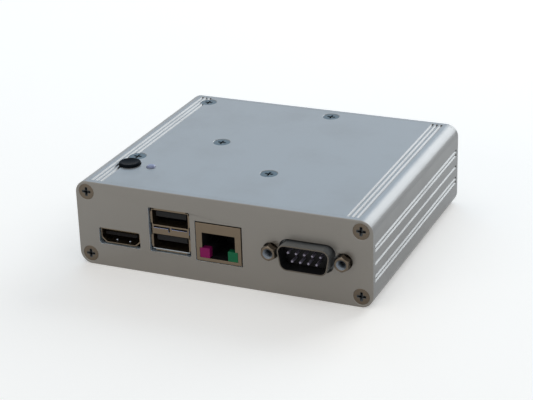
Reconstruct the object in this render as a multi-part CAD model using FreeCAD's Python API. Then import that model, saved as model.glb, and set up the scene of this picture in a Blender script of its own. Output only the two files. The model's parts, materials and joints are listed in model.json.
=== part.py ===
import FreeCAD, Part

import math
import os

from FreeCAD import Placement, Rotation, Vector

# Digital signage player: an extruded aluminium case with a flat plate at each end.
# Millimetres. X to the right, the front plate faces -Y, Z up, and the origin is the
# centre of the bottom face. Each piece is a separate solid that is written to its own file.

# Case profile
case_w = 105.0
case_h = 30.0
case_d = 90.0
wall = 2.0
corner_r = 4.3
groove_w = 1.0
groove_depth = 0.5
groove_pitch = 1.6
flat_groove_count = 3
flat_groove_inset = 5.65
side_groove_rise = 4.4
port_inset_x = 4.0
port_inset_z = 3.75
port_wall = 1.3
port_slot_w = 1.2

# End plates
plate_t = 2.0
plate_edge = 0.2

# Screws
thread_r = 1.45
thread_fit = 0.05
through_fit = 0.2
head_r = 2.8
top_head_r = 3.0
head_sunk = 0.1
seat_fit = 0.03
plate_screw_length = 9.0
top_screw_length = 7.0
recess_reach = 1.55
recess_w = 0.75
recess_depth = 1.15
pan_head_r = 2.75
pan_head_h = 1.9
board_screw_length = 5.4

# Main board, hung from the top wall
board_t = 1.6
board_front_gap = 0.2
board_rear_gap = 0.8
board_past_network = 2.5
board_tuck = 0.3
hole_inset = 3.5
hole_from_front = 24.0
spacer_flats = 5.0

# Spread of the sockets: each gap has a least width and a share of the width that is left
video_margin_least = 0.3
video_host_least = 0.9
host_network_least = 0.85
network_serial_least = 0.45
video_margin_share = 0.0776
video_host_share = 0.1856
host_network_share = 0.0859
network_serial_share = 0.3878
board_rise_share = 0.353
processor_share = 0.371

# Display socket
video_w = 14.6
video_h = 5.15
video_depth = 11.0
video_notch_w = 1.8
video_notch_h = 1.6
video_corner_r = 0.4
video_gap = 0.35
video_cut_r = 0.9
video_tongue_w = 11.6
video_tongue_t = 1.1
video_tongue_drop = 1.35
video_contact_pitch = 1.0
video_contact_count = 10
sheet_t = 0.3
socket_lift = 0.65
socket_recess = 0.8
socket_foot_w = 1.2

# Stacked pair of host sockets
host_lip = 0.5
host_w = 13.5
host_h = 14.2
host_depth = 17.5
host_band_h = 3.3
host_band_depth = 5.0
host_lip_corner = 1.0
host_gap = 0.25
host_cut_r = 0.6
host_tongue_w = 11.1
host_tongue_t = 1.84
host_tongue_drop = 0.65
host_tongue_back = 1.0
host_back_t = 6.0
host_contact_w = 1.0
host_contact_t = 0.2
host_slit_w = 0.55

# Network socket
network_w = 16.05
network_h = 13.4
network_depth = 21.3
network_proud = 0.25
network_gap = 0.33
network_sheet_t = 0.25
network_fit = 0.05
network_mouth_side = 2.175
network_mouth_top = 3.4
network_mouth_base = 1.1
network_cavity_depth = 14.0
network_light_size = 3.5
network_light_side = 1.275
network_light_depth = 2.2
network_wire_count = 8
network_wire_pitch = 1.02
network_wire_t = 0.4
network_wire_drop = 2.7

# Nine-pin serial connector
serial_rise = 0.1
serial_w = 18.6
serial_h = 8.8
serial_corner_r = 2.6
serial_slope = 10.0
serial_sheet_t = 0.4
serial_reach = 5.8
serial_screw_side = 3.195
serial_ear = 2.905
serial_flange_rise = 1.85
serial_flange_t = 0.5
serial_flange_r = 1.2
serial_side_gap = 0.95
serial_rise_gap = 0.55
serial_slot_h = 3.0
serial_body_side = 0.3
serial_body_rise = 0.95
serial_body_depth = 5.0
serial_body_proud = 1.0
serial_face = 0.8
pin_pitch = 2.77
pin_rows = 2.84
pin_r = 0.5
pin_sunk = 1.0
pin_tail = 4.0
pin_count = 9
jack_flats = 4.75
jack_reach = 4.0
jack_bevel = 0.5
jack_bore_r = 1.42
jack_bore_depth = 3.4
jack_thread_length = 6.5
jack_web = 0.8
jack_fit = 0.1
nut_t = 3.0

# Serial ribbon, its boot and its plug on the main board
boot_wall = 1.5
boot_h = 8.8
boot_depth = 6.0
ribbon_pitch = 1.27
ribbon_t = 0.9
fold_gap = 0.2
fold_w = 0.6
plug_from_hole = 13.0
plug_w = 8.0
plug_h = 7.0
plug_wall = 1.6
header_h = 4.0
header_fit = 0.4

# Power button and its switch
button_from_board = 4.35
button_from_screw = 7.4
button_r = 3.75
button_fit = 0.15
button_proud = 0.9
button_rim_w = 0.4
button_dish = 0.2
button_bevel = 0.45
collar_rim = 0.25
collar_t = 0.8
stem_r = 2.0
switch_size = 6.0
switch_h = 3.5
switch_wall = 0.5
plunger_r = 1.75
plunger_foot_r = 2.2
plunger_foot_t = 0.7
plunger_reach = 1.6
dome_r = 2.0
dome_flat_r = 0.8
dome_t = 0.15
slide_fit = 0.1

# Indicator beside the button
lens_from_button = 8.0
lens_r = 1.6
lens_proud = 0.15
lens_collar_r = 2.3
lens_collar_t = 0.8
lens_fit = 0.08
lamp_size = 2.0
lamp_h = 0.8

# Processor and its path for heat to the top wall
processor_size = 14.0
processor_h = 1.2
processor_from_middle = 2.5
pad_t = 1.0
heat_block_size = 24.0
heat_block_edge = 1.0
block_screw_length = 8.0

# Other parts on the board
memory_w = 8.0
memory_l = 11.0
memory_h = 1.0
memory_gap = 2.0
controller_size = 7.0
controller_h = 0.9
controller_gap = 9.0
storage_size = 8.0
storage_h = 1.1
coil_size = 6.0
coil_h = 3.0
coil_edge = 1.0
coil_gap = 2.5
coil_back = 11.0
coil_count = 3
can_r = 3.15
can_h = 5.8
can_gap = 1.5
can_count = 3
part_spacing = 2.0
can_edge = 0.5

# Power inlet at the rear
inlet_from_left = 14.0
inlet_w = 9.0
inlet_h = 10.9
inlet_depth = 13.6
inlet_bore_r = 3.15
inlet_bore_depth = 9.5
inlet_pin_r = 1.0
inlet_pin_sunk = 1.0
inlet_plate_gap = 0.15
inlet_hole_fit = 0.85

# Sides of the small round parts, which are many-sided to keep the model light
small_sides = 16
pin_sides = 8

# Sizes that follow from others
serial_screw_spacing = serial_w + 2 * serial_screw_side
serial_flange_w = serial_screw_spacing + 2 * serial_ear
serial_flange_h = serial_h + 2 * serial_flange_rise
serial_body_w = serial_w + 2 * serial_body_side
serial_body_h = serial_h + 2 * serial_body_rise
network_mouth_w = network_w - 2 * network_mouth_side
network_light_reach = network_w / 2 - network_light_side
host_full_w = host_w + 2 * host_lip
host_full_h = host_h + 2 * host_lip
port_reach = port_inset_x + thread_r + thread_fit + port_wall
board_from_side = port_reach - board_tuck
sockets_w = video_w + host_full_w + network_w + serial_flange_w
least_w = video_margin_least + video_host_least + host_network_least + network_serial_least
spare_w = case_w - board_from_side - wall - sockets_w - least_w
video_margin = video_margin_least + spare_w * video_margin_share
video_host_gap = video_host_least + spare_w * video_host_share
host_network_gap = host_network_least + spare_w * host_network_share
network_serial_gap = network_serial_least + spare_w * network_serial_share
spare_h = case_h - 2 * wall - board_t - socket_lift - host_full_h - pan_head_h
board_lift = pan_head_h + spare_h * board_rise_share

# Places that follow from the sizes
front_y = -case_d / 2
rear_y = case_d / 2
inner_front_y = front_y + plate_t
inner_rear_y = rear_y - plate_t
mid_z = case_h / 2
ceiling_z = case_h - wall
pilot_r = thread_r + thread_fit
through_r = thread_r + through_fit
board_x0 = -case_w / 2 + board_from_side
video_x = board_x0 + video_margin + video_w / 2
host_x = video_x + (video_w + host_full_w) / 2 + video_host_gap
network_x = host_x + (host_full_w + network_w) / 2 + host_network_gap
serial_x = network_x + (network_w + serial_flange_w) / 2 + network_serial_gap
board_x1 = network_x + network_w / 2 + board_past_network
board_y0 = inner_front_y + board_front_gap
board_y1 = inner_rear_y - board_rear_gap
board_z1 = wall + board_lift + board_t
board_z0 = board_z1 - board_t
hole_x0 = board_x0 + hole_inset
hole_x1 = board_x1 - hole_inset
hole_y1 = board_y1 - hole_inset
hole_y0 = board_y0 + hole_from_front
socket_front_y = front_y + socket_recess
socket_z0 = board_z1 + socket_lift
serial_z = mid_z + serial_rise
button_x = board_x0 + button_from_board
button_y = hole_y0 - button_from_screw
lens_x = button_x + lens_from_button
lens_y = button_y
processor_x = (board_x0 + board_x1) / 2 - processor_from_middle
processor_y = hole_y0 + (hole_y1 - hole_y0) * processor_share
inlet_x = board_x0 + inlet_from_left


def box(x0, x1, y0, y1, z0, z1):
    """Block between two opposite corners."""
    return Part.makeBox(x1 - x0, y1 - y0, z1 - z0, Vector(x0, y0, z0))


def block(x, y, size_x, size_y, z0, z1):
    """Block centred on (x, y) between two heights."""
    return box(x - size_x / 2, x + size_x / 2, y - size_y / 2, y + size_y / 2, z0, z1)


def post(x, y, r, z0, z1):
    """Upright cylinder."""
    return Part.makeCylinder(r, z1 - z0, Vector(x, y, z0), Vector(0, 0, 1))


def rod(x, z, r, y0, y1):
    """Cylinder along Y."""
    return Part.makeCylinder(r, y1 - y0, Vector(x, y0, z), Vector(0, 1, 0))


def ring(x, y, r, z, sides):
    """Closed level row of points on a circle."""
    turns = [2 * math.pi * i / sides for i in range(sides)]
    points = [Vector(x + r * math.cos(t), y + r * math.sin(t), z) for t in turns]
    return points + points[:1]


def faceted(x, y, r, z0, z1, sides=small_sides):
    """Upright many-sided prism."""
    base = Part.Face(Part.makePolygon(ring(x, y, r, z0, sides)))
    return base.extrude(Vector(0, 0, z1 - z0))


def stepped(profile, sides=small_sides):
    """Many-sided solid with flat faces between (radius, height) rings, lowest first."""
    rings = [ring(0, 0, r, z, sides) for r, z in profile]
    outlines = [rings[0], rings[-1]]
    for low, high in zip(rings, rings[1:]):
        for i in range(sides):
            outlines.append([low[i], low[i + 1], high[i + 1], high[i], low[i]])
    faces = [Part.Face(Part.makePolygon(points)) for points in outlines]
    return Part.Solid(Part.makeShell(faces))


def joined(shapes):
    """All the shapes fused into one."""
    first = shapes[0]
    if len(shapes) > 1:
        first = first.fuse(shapes[1:])
    return first.removeSplitter()


def outline(corners, y):
    """Closed wire in the plane Y = y through (x, z, radius) corners, rounded by tangent arcs."""
    stretches = []
    for i, (x, z, r) in enumerate(corners):
        here = Vector(x, y, z)
        if r <= 0:
            stretches.append((here, None, here))
            continue
        last = corners[i - 1]
        following = corners[(i + 1) % len(corners)]
        back = (Vector(last[0], y, last[1]) - here).normalize()
        ahead = (Vector(following[0], y, following[1]) - here).normalize()
        half = back.getAngle(ahead) / 2
        reach = r / math.tan(half)
        inward = (back + ahead).normalize()
        middle = here + inward * (r / math.sin(half) - r)
        stretches.append((here + back * reach, middle, here + ahead * reach))
    edges = []
    for i, (start, middle, end) in enumerate(stretches):
        if middle is not None:
            edges.append(Part.Arc(start, middle, end).toShape())
        next_start = stretches[(i + 1) % len(stretches)][0]
        if end.distanceToPoint(next_start) > 1e-6:
            edges.append(Part.LineSegment(end, next_start).toShape())
    return Part.Wire(edges)


def prism(corners, y0, y1):
    """Outline of (x, z, radius) corners carried along Y."""
    face = Part.Face(outline(corners, y0))
    return face.extrude(Vector(0, y1 - y0, 0))


def rectangle(x, z, w, h, r=0.0):
    """Corners of a rectangle that is centred on (x, z)."""
    left = x - w / 2
    right = x + w / 2
    low = z - h / 2
    high = z + h / 2
    return [(left, low, r), (right, low, r), (right, high, r), (left, high, r)]


def turned(profile, position, direction):
    """Solid of revolution: (radius, height) points turned about the given axis."""
    points = [Vector(r, 0, z) for r, z in profile]
    points.append(points[0])
    face = Part.Face(Part.makePolygon(points))
    solid = face.revolve(Vector(0, 0, 0), Vector(0, 0, 1), 360)
    solid.Placement = Placement(position, Rotation(Vector(0, 0, 1), direction))
    return solid


def cross_recess():
    """Cross-shaped recess below Z = 0, with arms that taper towards its floor."""
    half = recess_w / 2
    corners = [
        Vector(-recess_reach, -half, 0),
        Vector(recess_reach, -half, 0),
        Vector(half, -half, -recess_depth),
        Vector(-half, -half, -recess_depth),
    ]
    corners.append(corners[0])
    arm = Part.Face(Part.makePolygon(corners)).extrude(Vector(0, recess_w, 0))
    other = arm.rotated(Vector(0, 0, 0), Vector(0, 0, 1), 90)
    return arm.fuse(other)


def placed(shape, position, direction):
    """The shape with its own +Z turned to the direction and its origin moved to the position."""
    shape.Placement = Placement(position, Rotation(Vector(0, 0, 1), direction))
    return shape


def sunk_screw(radius, length, position, direction):
    """Countersunk screw whose head lies just below the surface at the position."""
    top = -head_sunk
    neck = top - (radius - thread_r)
    body = stepped([(thread_r, -length), (thread_r, neck), (radius, top)])
    recess = cross_recess()
    recess.translate(Vector(0, 0, top))
    return placed(body.cut(recess), position, direction)


def sunk_hole(radius, position, direction):
    """Countersink and through hole that a sunk screw seats in."""
    opening = radius + head_sunk + seat_fit
    rings = [(through_r, -wall - plate_t), (through_r, through_r - opening), (opening + 1, 1)]
    return placed(stepped(rings), position, direction)


def plate_screw_places():
    """Corner places of the end plate screws as (x, z)."""
    across = case_w / 2 - port_inset_x
    up = case_h / 2 - port_inset_z
    return [(sx * across, mid_z + sz * up) for sx in (-1, 1) for sz in (-1, 1)]


def board_hole_places():
    """Places of the four board screws as (x, y)."""
    return [(x, y) for x in (hole_x0, hole_x1) for y in (hole_y0, hole_y1)]


def grooved_corners():
    """Outer outline of the profile, with V grooves beside its corners and along its sides."""
    half_w = case_w / 2
    first = half_w - flat_groove_inset
    flat = [first - i * groove_pitch for i in range(flat_groove_count)]
    outer = side_groove_rise + groove_pitch
    side = [-outer, -side_groove_rise, 0.0, side_groove_rise, outer]
    half = groove_w / 2
    corners = [(-half_w, 0, corner_r)]
    for x in [-place for place in flat] + flat[::-1]:
        corners += [(x - half, 0, 0), (x, groove_depth, 0), (x + half, 0, 0)]
    corners.append((half_w, 0, corner_r))
    for z in [mid_z + rise for rise in side]:
        bottom = half_w - groove_depth
        corners += [(half_w, z - half, 0), (bottom, z, 0), (half_w, z + half, 0)]
    corners.append((half_w, case_h, corner_r))
    for x in flat + [-place for place in flat[::-1]]:
        corners += [(x + half, case_h, 0), (x, case_h - groove_depth, 0), (x - half, case_h, 0)]
    corners.append((-half_w, case_h, corner_r))
    for z in [mid_z + rise for rise in side[::-1]]:
        bottom = groove_depth - half_w
        corners += [(-half_w, z + half, 0), (bottom, z, 0), (-half_w, z - half, 0)]
    return corners


def round_face(x, y, z, r):
    """Many-sided face across the case."""
    face = Part.Face(Part.makePolygon(ring(0, 0, r, 0, small_sides)))
    return placed(face, Vector(x, y, z), Vector(0, 1, 0))


def case_profile():
    """Extruded tube with grooves, four slotted screw ports and the holes of the top face."""
    y = inner_front_y
    inner = rectangle(0, mid_z, case_w - 2 * wall, case_h - 2 * wall, corner_r - wall)
    void = Part.Face(outline(inner, y))
    for x, z in plate_screw_places():
        void = void.cut(round_face(x, y, z, pilot_r + port_wall))
    for x, z in plate_screw_places():
        middle = Vector(x, y, z)
        pilot = round_face(x, y, z, pilot_r)
        reach = pilot_r + port_wall + 1
        slot = Part.Face(outline(rectangle(reach / 2, 0, reach, port_slot_w), 0))
        inward = math.degrees(math.atan2(mid_z - z, -x * case_h / case_w))
        slot.Placement = Placement(middle, Rotation(Vector(0, 1, 0), -inward))
        void = void.fuse([pilot, slot])
    section = Part.Face(outline(grooved_corners(), y)).cut(void)
    body = section.extrude(Vector(0, inner_rear_y - inner_front_y, 0)).removeSplitter()
    up = Vector(0, 0, 1)
    cuts = [sunk_hole(top_head_r, Vector(x, y, case_h), up) for x, y in top_screw_places()]
    cuts.append(post(button_x, button_y, button_r + button_fit, ceiling_z - 1, case_h + 1))
    cuts.append(post(lens_x, lens_y, lens_r + lens_fit, ceiling_z - 1, case_h + 1))
    return body.cut(cuts)


def top_screw_places():
    """The board screws and the heat block screw as (x, y)."""
    return board_hole_places() + [(processor_x, processor_y)]


def end_plate(y, outward):
    """Flat plate with a broken outer edge and four countersunk holes."""
    inner_y = y - outward * plate_t
    corners = rectangle(0, mid_z, case_w, case_h, corner_r)
    plate = prism(corners, min(y, inner_y), max(y, inner_y))
    rim = [edge for edge in plate.Edges if all(abs(v.Y - y) < 1e-6 for v in edge.Vertexes)]
    plate = plate.makeChamfer(plate_edge, rim)
    direction = Vector(0, outward, 0)
    holes = [sunk_hole(head_r, Vector(x, y, z), direction) for x, z in plate_screw_places()]
    return plate.cut(holes)


def serial_outline(w, h, r, grow=0.0):
    """D-shaped outline, wide side up, that grows or shrinks evenly by the given amount."""
    slope = math.radians(serial_slope)
    high = h / 2 + grow
    top = w / 2 + grow / math.cos(slope) + grow * math.tan(slope)
    base = top - 2 * high * math.tan(slope)
    round_r = max(r + grow, 0.2)
    return [
        (serial_x - base, serial_z - high, round_r),
        (serial_x + base, serial_z - high, round_r),
        (serial_x + top, serial_z + high, round_r),
        (serial_x - top, serial_z + high, round_r),
    ]


def jack_places():
    """Centres of the two jackscrews along X."""
    return [serial_x - serial_screw_spacing / 2, serial_x + serial_screw_spacing / 2]


def jack_holes(y0, y1):
    """Clearance holes of the jackscrews between two planes."""
    along = Vector(0, 1, 0)
    depth = y1 - y0
    return [placed(faceted(0, 0, through_r, 0, depth), Vector(x, y0, serial_z), along) for x in jack_places()]


def front_plate():
    """Front plate with the cut-outs of the sockets."""
    plate = end_plate(front_y, -1)
    y0 = front_y - 1
    y1 = inner_front_y + 1
    video = rectangle(
        video_x,
        socket_z0 + video_h / 2,
        video_w + 2 * video_gap,
        video_h + 2 * video_gap,
        video_cut_r,
    )
    host = rectangle(
        host_x,
        socket_z0 + host_lip + host_h / 2,
        host_full_w + 2 * host_gap,
        host_full_h + 2 * host_gap,
        host_cut_r,
    )
    network = rectangle(
        network_x,
        board_z1 + network_h / 2,
        network_w + 2 * network_gap,
        network_h + 2 * network_gap,
    )
    serial = serial_outline(
        serial_w + 2 * serial_side_gap,
        serial_h + 2 * serial_rise_gap,
        serial_corner_r + serial_rise_gap,
    )
    slot = rectangle(serial_x, serial_z, serial_screw_spacing, serial_slot_h)
    cuts = [prism(corners, y0, y1) for corners in (video, host, network, serial, slot)]
    pocket_r = jack_flats / math.sqrt(3) + jack_fit
    for x in jack_places():
        cuts.append(rod(x, serial_z, pocket_r, y0, inner_front_y - jack_web))
    return plate.cut(cuts + jack_holes(y0, y1))


def rear_plate():
    """Rear plate with the hole of the power inlet."""
    plate = end_plate(rear_y, 1)
    inlet_z = board_z1 + inlet_h / 2
    return plate.cut(rod(inlet_x, inlet_z, inlet_bore_r + inlet_hole_fit, inner_rear_y - 1, rear_y + 1))


def plate_screws(y, outward):
    """Four countersunk screws in the corners of an end plate."""
    direction = Vector(0, outward, 0)
    places = plate_screw_places()
    return [sunk_screw(head_r, plate_screw_length, Vector(x, y, z), direction) for x, z in places]


def board_top_screws():
    """Four countersunk screws through the top into the spacers."""
    up = Vector(0, 0, 1)
    places = board_hole_places()
    return [sunk_screw(top_head_r, top_screw_length, Vector(x, y, case_h), up) for x, y in places]


def heat_block_screw():
    """Countersunk screw through the top into the heat block."""
    place = Vector(processor_x, processor_y, case_h)
    return sunk_screw(top_head_r, block_screw_length, place, Vector(0, 0, 1))


def board_spacers():
    """Hexagonal spacers between the board and the top wall, threaded right through."""
    spacers = []
    for x, y in board_hole_places():
        body = faceted(x, y, spacer_flats / math.sqrt(3), board_z1, ceiling_z, 6)
        spacers.append(body.cut(faceted(x, y, pilot_r, board_z1 - 1, ceiling_z + 1)))
    return spacers


def board_screws():
    """Pan head screws that hold the board up against the spacers."""
    screws = []
    tip_z = board_z0 + board_screw_length
    for x, y in board_hole_places():
        shank = faceted(x, y, thread_r, board_z0, tip_z)
        head = faceted(x, y, pan_head_r, board_z0 - pan_head_h, board_z0)
        recess = placed(cross_recess(), Vector(x, y, board_z0 - pan_head_h), Vector(0, 0, -1))
        screws.append(shank.fuse(head).cut(recess))
    return screws


def main_board():
    """Board with its four mounting holes."""
    body = box(board_x0, board_x1, board_y0, board_y1, board_z0, board_z1)
    holes = [faceted(x, y, through_r, board_z0 - 1, board_z1 + 1) for x, y in board_hole_places()]
    return body.cut(holes)


def video_corners(grow=0.0):
    """Outline of the display socket, with its two lower corners cut away."""
    half = video_w / 2 + grow
    low = socket_z0 - grow
    high = socket_z0 + video_h + grow
    r = max(video_corner_r + grow, 0.1)
    cut_w = video_notch_w
    cut_h = video_notch_h
    return [
        (video_x - half + cut_w, low, r),
        (video_x + half - cut_w, low, r),
        (video_x + half, low + cut_h, r),
        (video_x + half, high, r),
        (video_x - half, high, r),
        (video_x - half, low + cut_h, r),
    ]


def video_shell():
    """Folded shell of the display socket with its feet and four spring tabs."""
    rear = socket_front_y + video_depth
    tube = prism(video_corners(), socket_front_y, rear)
    tube = tube.cut(prism(video_corners(-sheet_t), socket_front_y - 1, rear + 1))
    pieces = [tube]
    foot_x = video_w / 2 - video_notch_w - socket_foot_w
    for side in (-1, 1):
        for y in (socket_front_y + video_depth * 0.35, rear - socket_foot_w):
            x = video_x + side * foot_x
            pieces.append(block(x, y, sheet_t, socket_foot_w, board_z1, socket_z0 + sheet_t / 2))
    tab_y0 = socket_front_y + video_depth * 0.12
    tab_y1 = socket_front_y + video_depth * 0.3
    for side in (-1, 1):
        x = video_x + side * video_w / 6
        low = socket_z0 + sheet_t / 2
        high = socket_z0 + video_h - sheet_t / 2
        pieces.append(spring_tab(x, tab_y0, tab_y1, low, low + sheet_t))
        pieces.append(spring_tab(x, tab_y0, tab_y1, high, high - sheet_t))
    return joined(pieces)


def spring_tab(x, y0, y1, root_z, tip_z):
    """Low ridge that a spring tab makes inside a socket wall, one socket foot wide."""
    middle = (y0 + y1) / 2
    left = x - socket_foot_w / 2
    points = [Vector(left, y0, root_z), Vector(left, middle, tip_z), Vector(left, y1, root_z)]
    points.append(points[0])
    return Part.Face(Part.makePolygon(points)).extrude(Vector(socket_foot_w, 0, 0))


def video_tongue_z():
    """Lower and upper face of the display socket's tongue."""
    top = socket_z0 + video_h - video_tongue_drop
    return top - video_tongue_t, top


def video_insulator():
    """Moulded rear block and tongue of the display socket."""
    rear = socket_front_y + video_depth
    low, high = video_tongue_z()
    body = prism(video_corners(-sheet_t - thread_fit), rear - video_depth * 0.4, rear)
    tongue_y = socket_front_y + socket_recess
    half = video_tongue_w / 2
    tongue = box(video_x - half, video_x + half, tongue_y, rear - 1, low, high)
    return joined([body, tongue])


def video_contacts():
    """Contact strips on the upper and lower face of the tongue."""
    low, high = video_tongue_z()
    y0 = socket_front_y + 2 * socket_recess
    y1 = socket_front_y + video_depth * 0.6
    strip_w = video_contact_pitch * 0.45
    strip_t = sheet_t / 2
    contacts = []
    for count, z in ((video_contact_count, high), (video_contact_count - 1, low - strip_t)):
        for i in range(count):
            x = video_x + (i - (count - 1) / 2) * video_contact_pitch
            contacts.append(box(x - strip_w / 2, x + strip_w / 2, y0, y1, z, z + strip_t))
    return contacts


def host_z():
    """Bottom and top of the stacked socket's body inside its lips."""
    low = socket_z0 + host_lip
    return low, low + host_h


def host_ports():
    """Lower and upper face of each of the two openings, the lower opening first."""
    low, high = host_z()
    band_low = (low + high - host_band_h) / 2
    return [(low + sheet_t, band_low), (band_low + host_band_h, high - sheet_t)]


def host_shell():
    """Folded shell of the stacked sockets: body, outward lips and slotted middle band."""
    low, high = host_z()
    front = socket_front_y
    rear = front + host_depth
    half = host_w / 2
    body = box(host_x - half, host_x + half, front, rear, low, high)
    inner = half - sheet_t
    hollow = box(host_x - inner, host_x + inner, front - 1, rear - sheet_t, low + sheet_t, high - sheet_t)
    pieces = [body.cut(hollow)]
    lip_y = front + sheet_t
    edge = half - host_lip_corner
    for z0, z1 in ((low - host_lip, low + sheet_t), (high - sheet_t, high + host_lip)):
        pieces.append(box(host_x - edge, host_x + edge, front, lip_y, z0, z1))
    for z0, z1 in host_ports():
        for side in (-1, 1):
            x = host_x + side * (half + (host_lip - sheet_t) / 2)
            width = host_lip + sheet_t
            z_low = z0 + host_lip_corner / 2
            z_high = z1 - host_lip_corner / 2
            pieces.append(box(x - width / 2, x + width / 2, front, lip_y, z_low, z_high))
    pieces.append(host_band())
    for side in (-1, 1):
        for y in (front + host_depth * 0.4, rear - socket_foot_w):
            x = host_x + side * (half - sheet_t / 2)
            pieces.append(block(x, y, sheet_t, socket_foot_w, board_z1, low + sheet_t))
    return joined(pieces)


def host_band():
    """Folded band between the two openings, with two long slits and a short upright one."""
    (_, z0), (z1, _) = host_ports()
    front = socket_front_y
    half = host_w / 2 - sheet_t
    outer = box(host_x - half, host_x + half, front, front + host_band_depth, z0, z1)
    inside = box(
        host_x - half,
        host_x + half,
        front + sheet_t,
        front + host_band_depth + 1,
        z0 + sheet_t,
        z1 - sheet_t,
    )
    slit_z1 = z1 - sheet_t - host_slit_w / 2
    slit_z0 = slit_z1 - host_slit_w
    gap = host_slit_w / 2
    slits = []
    for side in (-1, 1):
        x0 = host_x + side * gap
        x1 = host_x + side * (half - sheet_t)
        slits.append(box(min(x0, x1), max(x0, x1), front - 1, front + 2 * sheet_t, slit_z0, slit_z1))
    x1 = host_x - gap
    slit_low = slit_z0 - host_band_h / 3
    slits.append(box(x1 - host_slit_w, x1, front - 1, front + 2 * sheet_t, slit_low, slit_z1))
    return outer.cut([inside] + slits)


def host_insulator():
    """Moulded block behind both openings with one tongue in the upper part of each."""
    low, high = host_z()
    rear = socket_front_y + host_depth - sheet_t
    half = host_w / 2 - sheet_t - thread_fit
    gap = sheet_t + thread_fit
    y0 = rear - host_back_t
    pieces = [box(host_x - half, host_x + half, y0, rear - thread_fit, low + gap, high - gap)]
    tongue_half = host_tongue_w / 2
    for _, z1 in host_ports():
        top = z1 - host_tongue_drop
        tongue_y = socket_front_y + host_tongue_back
        bottom = top - host_tongue_t
        pieces.append(box(host_x - tongue_half, host_x + tongue_half, tongue_y, y0 + 1, bottom, top))
    return joined(pieces)


def host_contacts():
    """Four contact strips under each tongue: the outer two wider apart than the inner two."""
    inner = host_contact_w
    outer = host_contact_w * 3.5
    y0 = socket_front_y + host_tongue_back * 2
    y1 = socket_front_y + host_depth - sheet_t - host_back_t
    contacts = []
    for _, z1 in host_ports():
        z = z1 - host_tongue_drop - host_tongue_t
        for offset in (-outer, -inner, inner, outer):
            x = host_x + offset
            x0 = x - host_contact_w / 2
            contacts.append(box(x0, x0 + host_contact_w, y0, y1, z - host_contact_t, z))
    return contacts


def network_faces():
    """Front plane of the network socket, and the lower and upper edge of its mouth."""
    front = front_y - network_proud
    return front, board_z1 + network_mouth_base, board_z1 + network_h - network_mouth_top


def network_lights():
    """The two light blocks in the lower corners of the mouth, left one first."""
    front, low, _ = network_faces()
    size = network_light_size
    rear = front + network_light_depth
    left = network_x - network_light_reach
    right = network_x + network_light_reach
    return [
        box(left, left + size, front, rear, low, low + size),
        box(right - size, right, front, rear, low, low + size),
    ]


def network_mouth(front, rear, grow):
    """Mouth of the network socket, with a pocket for each light block."""
    _, low, high = network_faces()
    half = network_mouth_w / 2
    reach = network_light_reach + grow
    size = network_light_size + grow
    mouth = box(network_x - half, network_x + half, front, rear, low, high)
    pockets = box(network_x - reach, network_x + reach, front, rear, low - grow, low + size)
    return mouth.fuse(pockets)


def network_shield():
    """Folded shield around the network socket, open below and pierced by the mouth."""
    front, low, _ = network_faces()
    rear = front + network_depth
    half = network_w / 2
    t = network_sheet_t
    top = board_z1 + network_h
    body = box(network_x - half, network_x + half, front, rear, board_z1, top)
    inner = half - t
    hollow = box(network_x - inner, network_x + inner, front + t, rear - t, board_z1 - 1, top - t)
    base = box(network_x - inner, network_x + inner, front, front + t, board_z1, low)
    mouth = network_mouth(front - 1, front + t + 1, network_fit)
    return body.cut(hollow).fuse(base).cut(mouth).removeSplitter()


def network_housing():
    """Moulded insert with the stepped cavity that the plug goes into."""
    front, low, high = network_faces()
    gap = network_sheet_t + network_fit
    half = network_w / 2 - gap
    rear = front + network_depth - gap
    top = board_z1 + network_h - gap
    body = box(network_x - half, network_x + half, front + gap, rear, board_z1, top)
    pocket = network_mouth(front, front + network_light_depth + network_fit, network_fit)
    mouth_half = network_mouth_w / 2
    back = front + network_cavity_depth
    step_z = low + network_light_size
    plug = box(network_x - mouth_half, network_x + mouth_half, front, back, step_z, high)
    latch_half = network_light_reach - network_light_size
    latch = box(network_x - latch_half, network_x + latch_half, front, back, low, high)
    return body.cut([pocket, plug, latch])


def network_contacts():
    """Eight bent spring wires that slope down from the roof of the cavity to its back."""
    front, _, high = network_faces()
    back = front + network_cavity_depth
    t = network_wire_t
    y0 = front + network_cavity_depth / 2
    drop = high - network_wire_drop
    points = [(y0, high), (y0, high - t), (back - t, drop - t), (back, drop - t), (back, drop)]
    wires = []
    for i in range(network_wire_count):
        x = network_x + (i - (network_wire_count - 1) / 2) * network_wire_pitch - t / 2
        corners = [Vector(x, y, z) for y, z in points]
        corners.append(corners[0])
        wires.append(Part.Face(Part.makePolygon(corners)).extrude(Vector(t, 0, 0)))
    return wires


def serial_shell():
    """Drawn D-shaped shell with its flange behind the front plate."""
    y0 = inner_front_y
    y1 = y0 + serial_flange_t
    flange = prism(
        rectangle(serial_x, serial_z, serial_flange_w, serial_flange_h, serial_flange_r), y0, y1
    )
    tip = y1 - serial_reach - serial_flange_t
    tube = prism(serial_outline(serial_w, serial_h, serial_corner_r), tip, y1)
    hollow = prism(serial_outline(serial_w, serial_h, serial_corner_r, -serial_sheet_t), tip - 1, y1 + 1)
    holes = jack_holes(y0 - 1, y1 + 1)
    return joined([flange, tube]).cut([hollow] + holes)


def serial_rear_shell():
    """Rear half of the shell: a second flange with a shallow drawn cup."""
    y0 = inner_front_y + serial_flange_t
    y1 = y0 + serial_flange_t
    flange = prism(
        rectangle(serial_x, serial_z, serial_flange_w, serial_flange_h, serial_flange_r), y0, y1
    )
    cup_y = y0 + serial_body_depth
    cup = prism(serial_outline(serial_body_w, serial_body_h, serial_corner_r), y0, cup_y)
    hollow = prism(
        serial_outline(serial_body_w, serial_body_h, serial_corner_r, -serial_sheet_t),
        y0 - 1,
        cup_y + 1,
    )
    holes = jack_holes(y0 - 1, y1 + 1)
    return joined([flange, cup]).cut([hollow] + holes)


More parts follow.
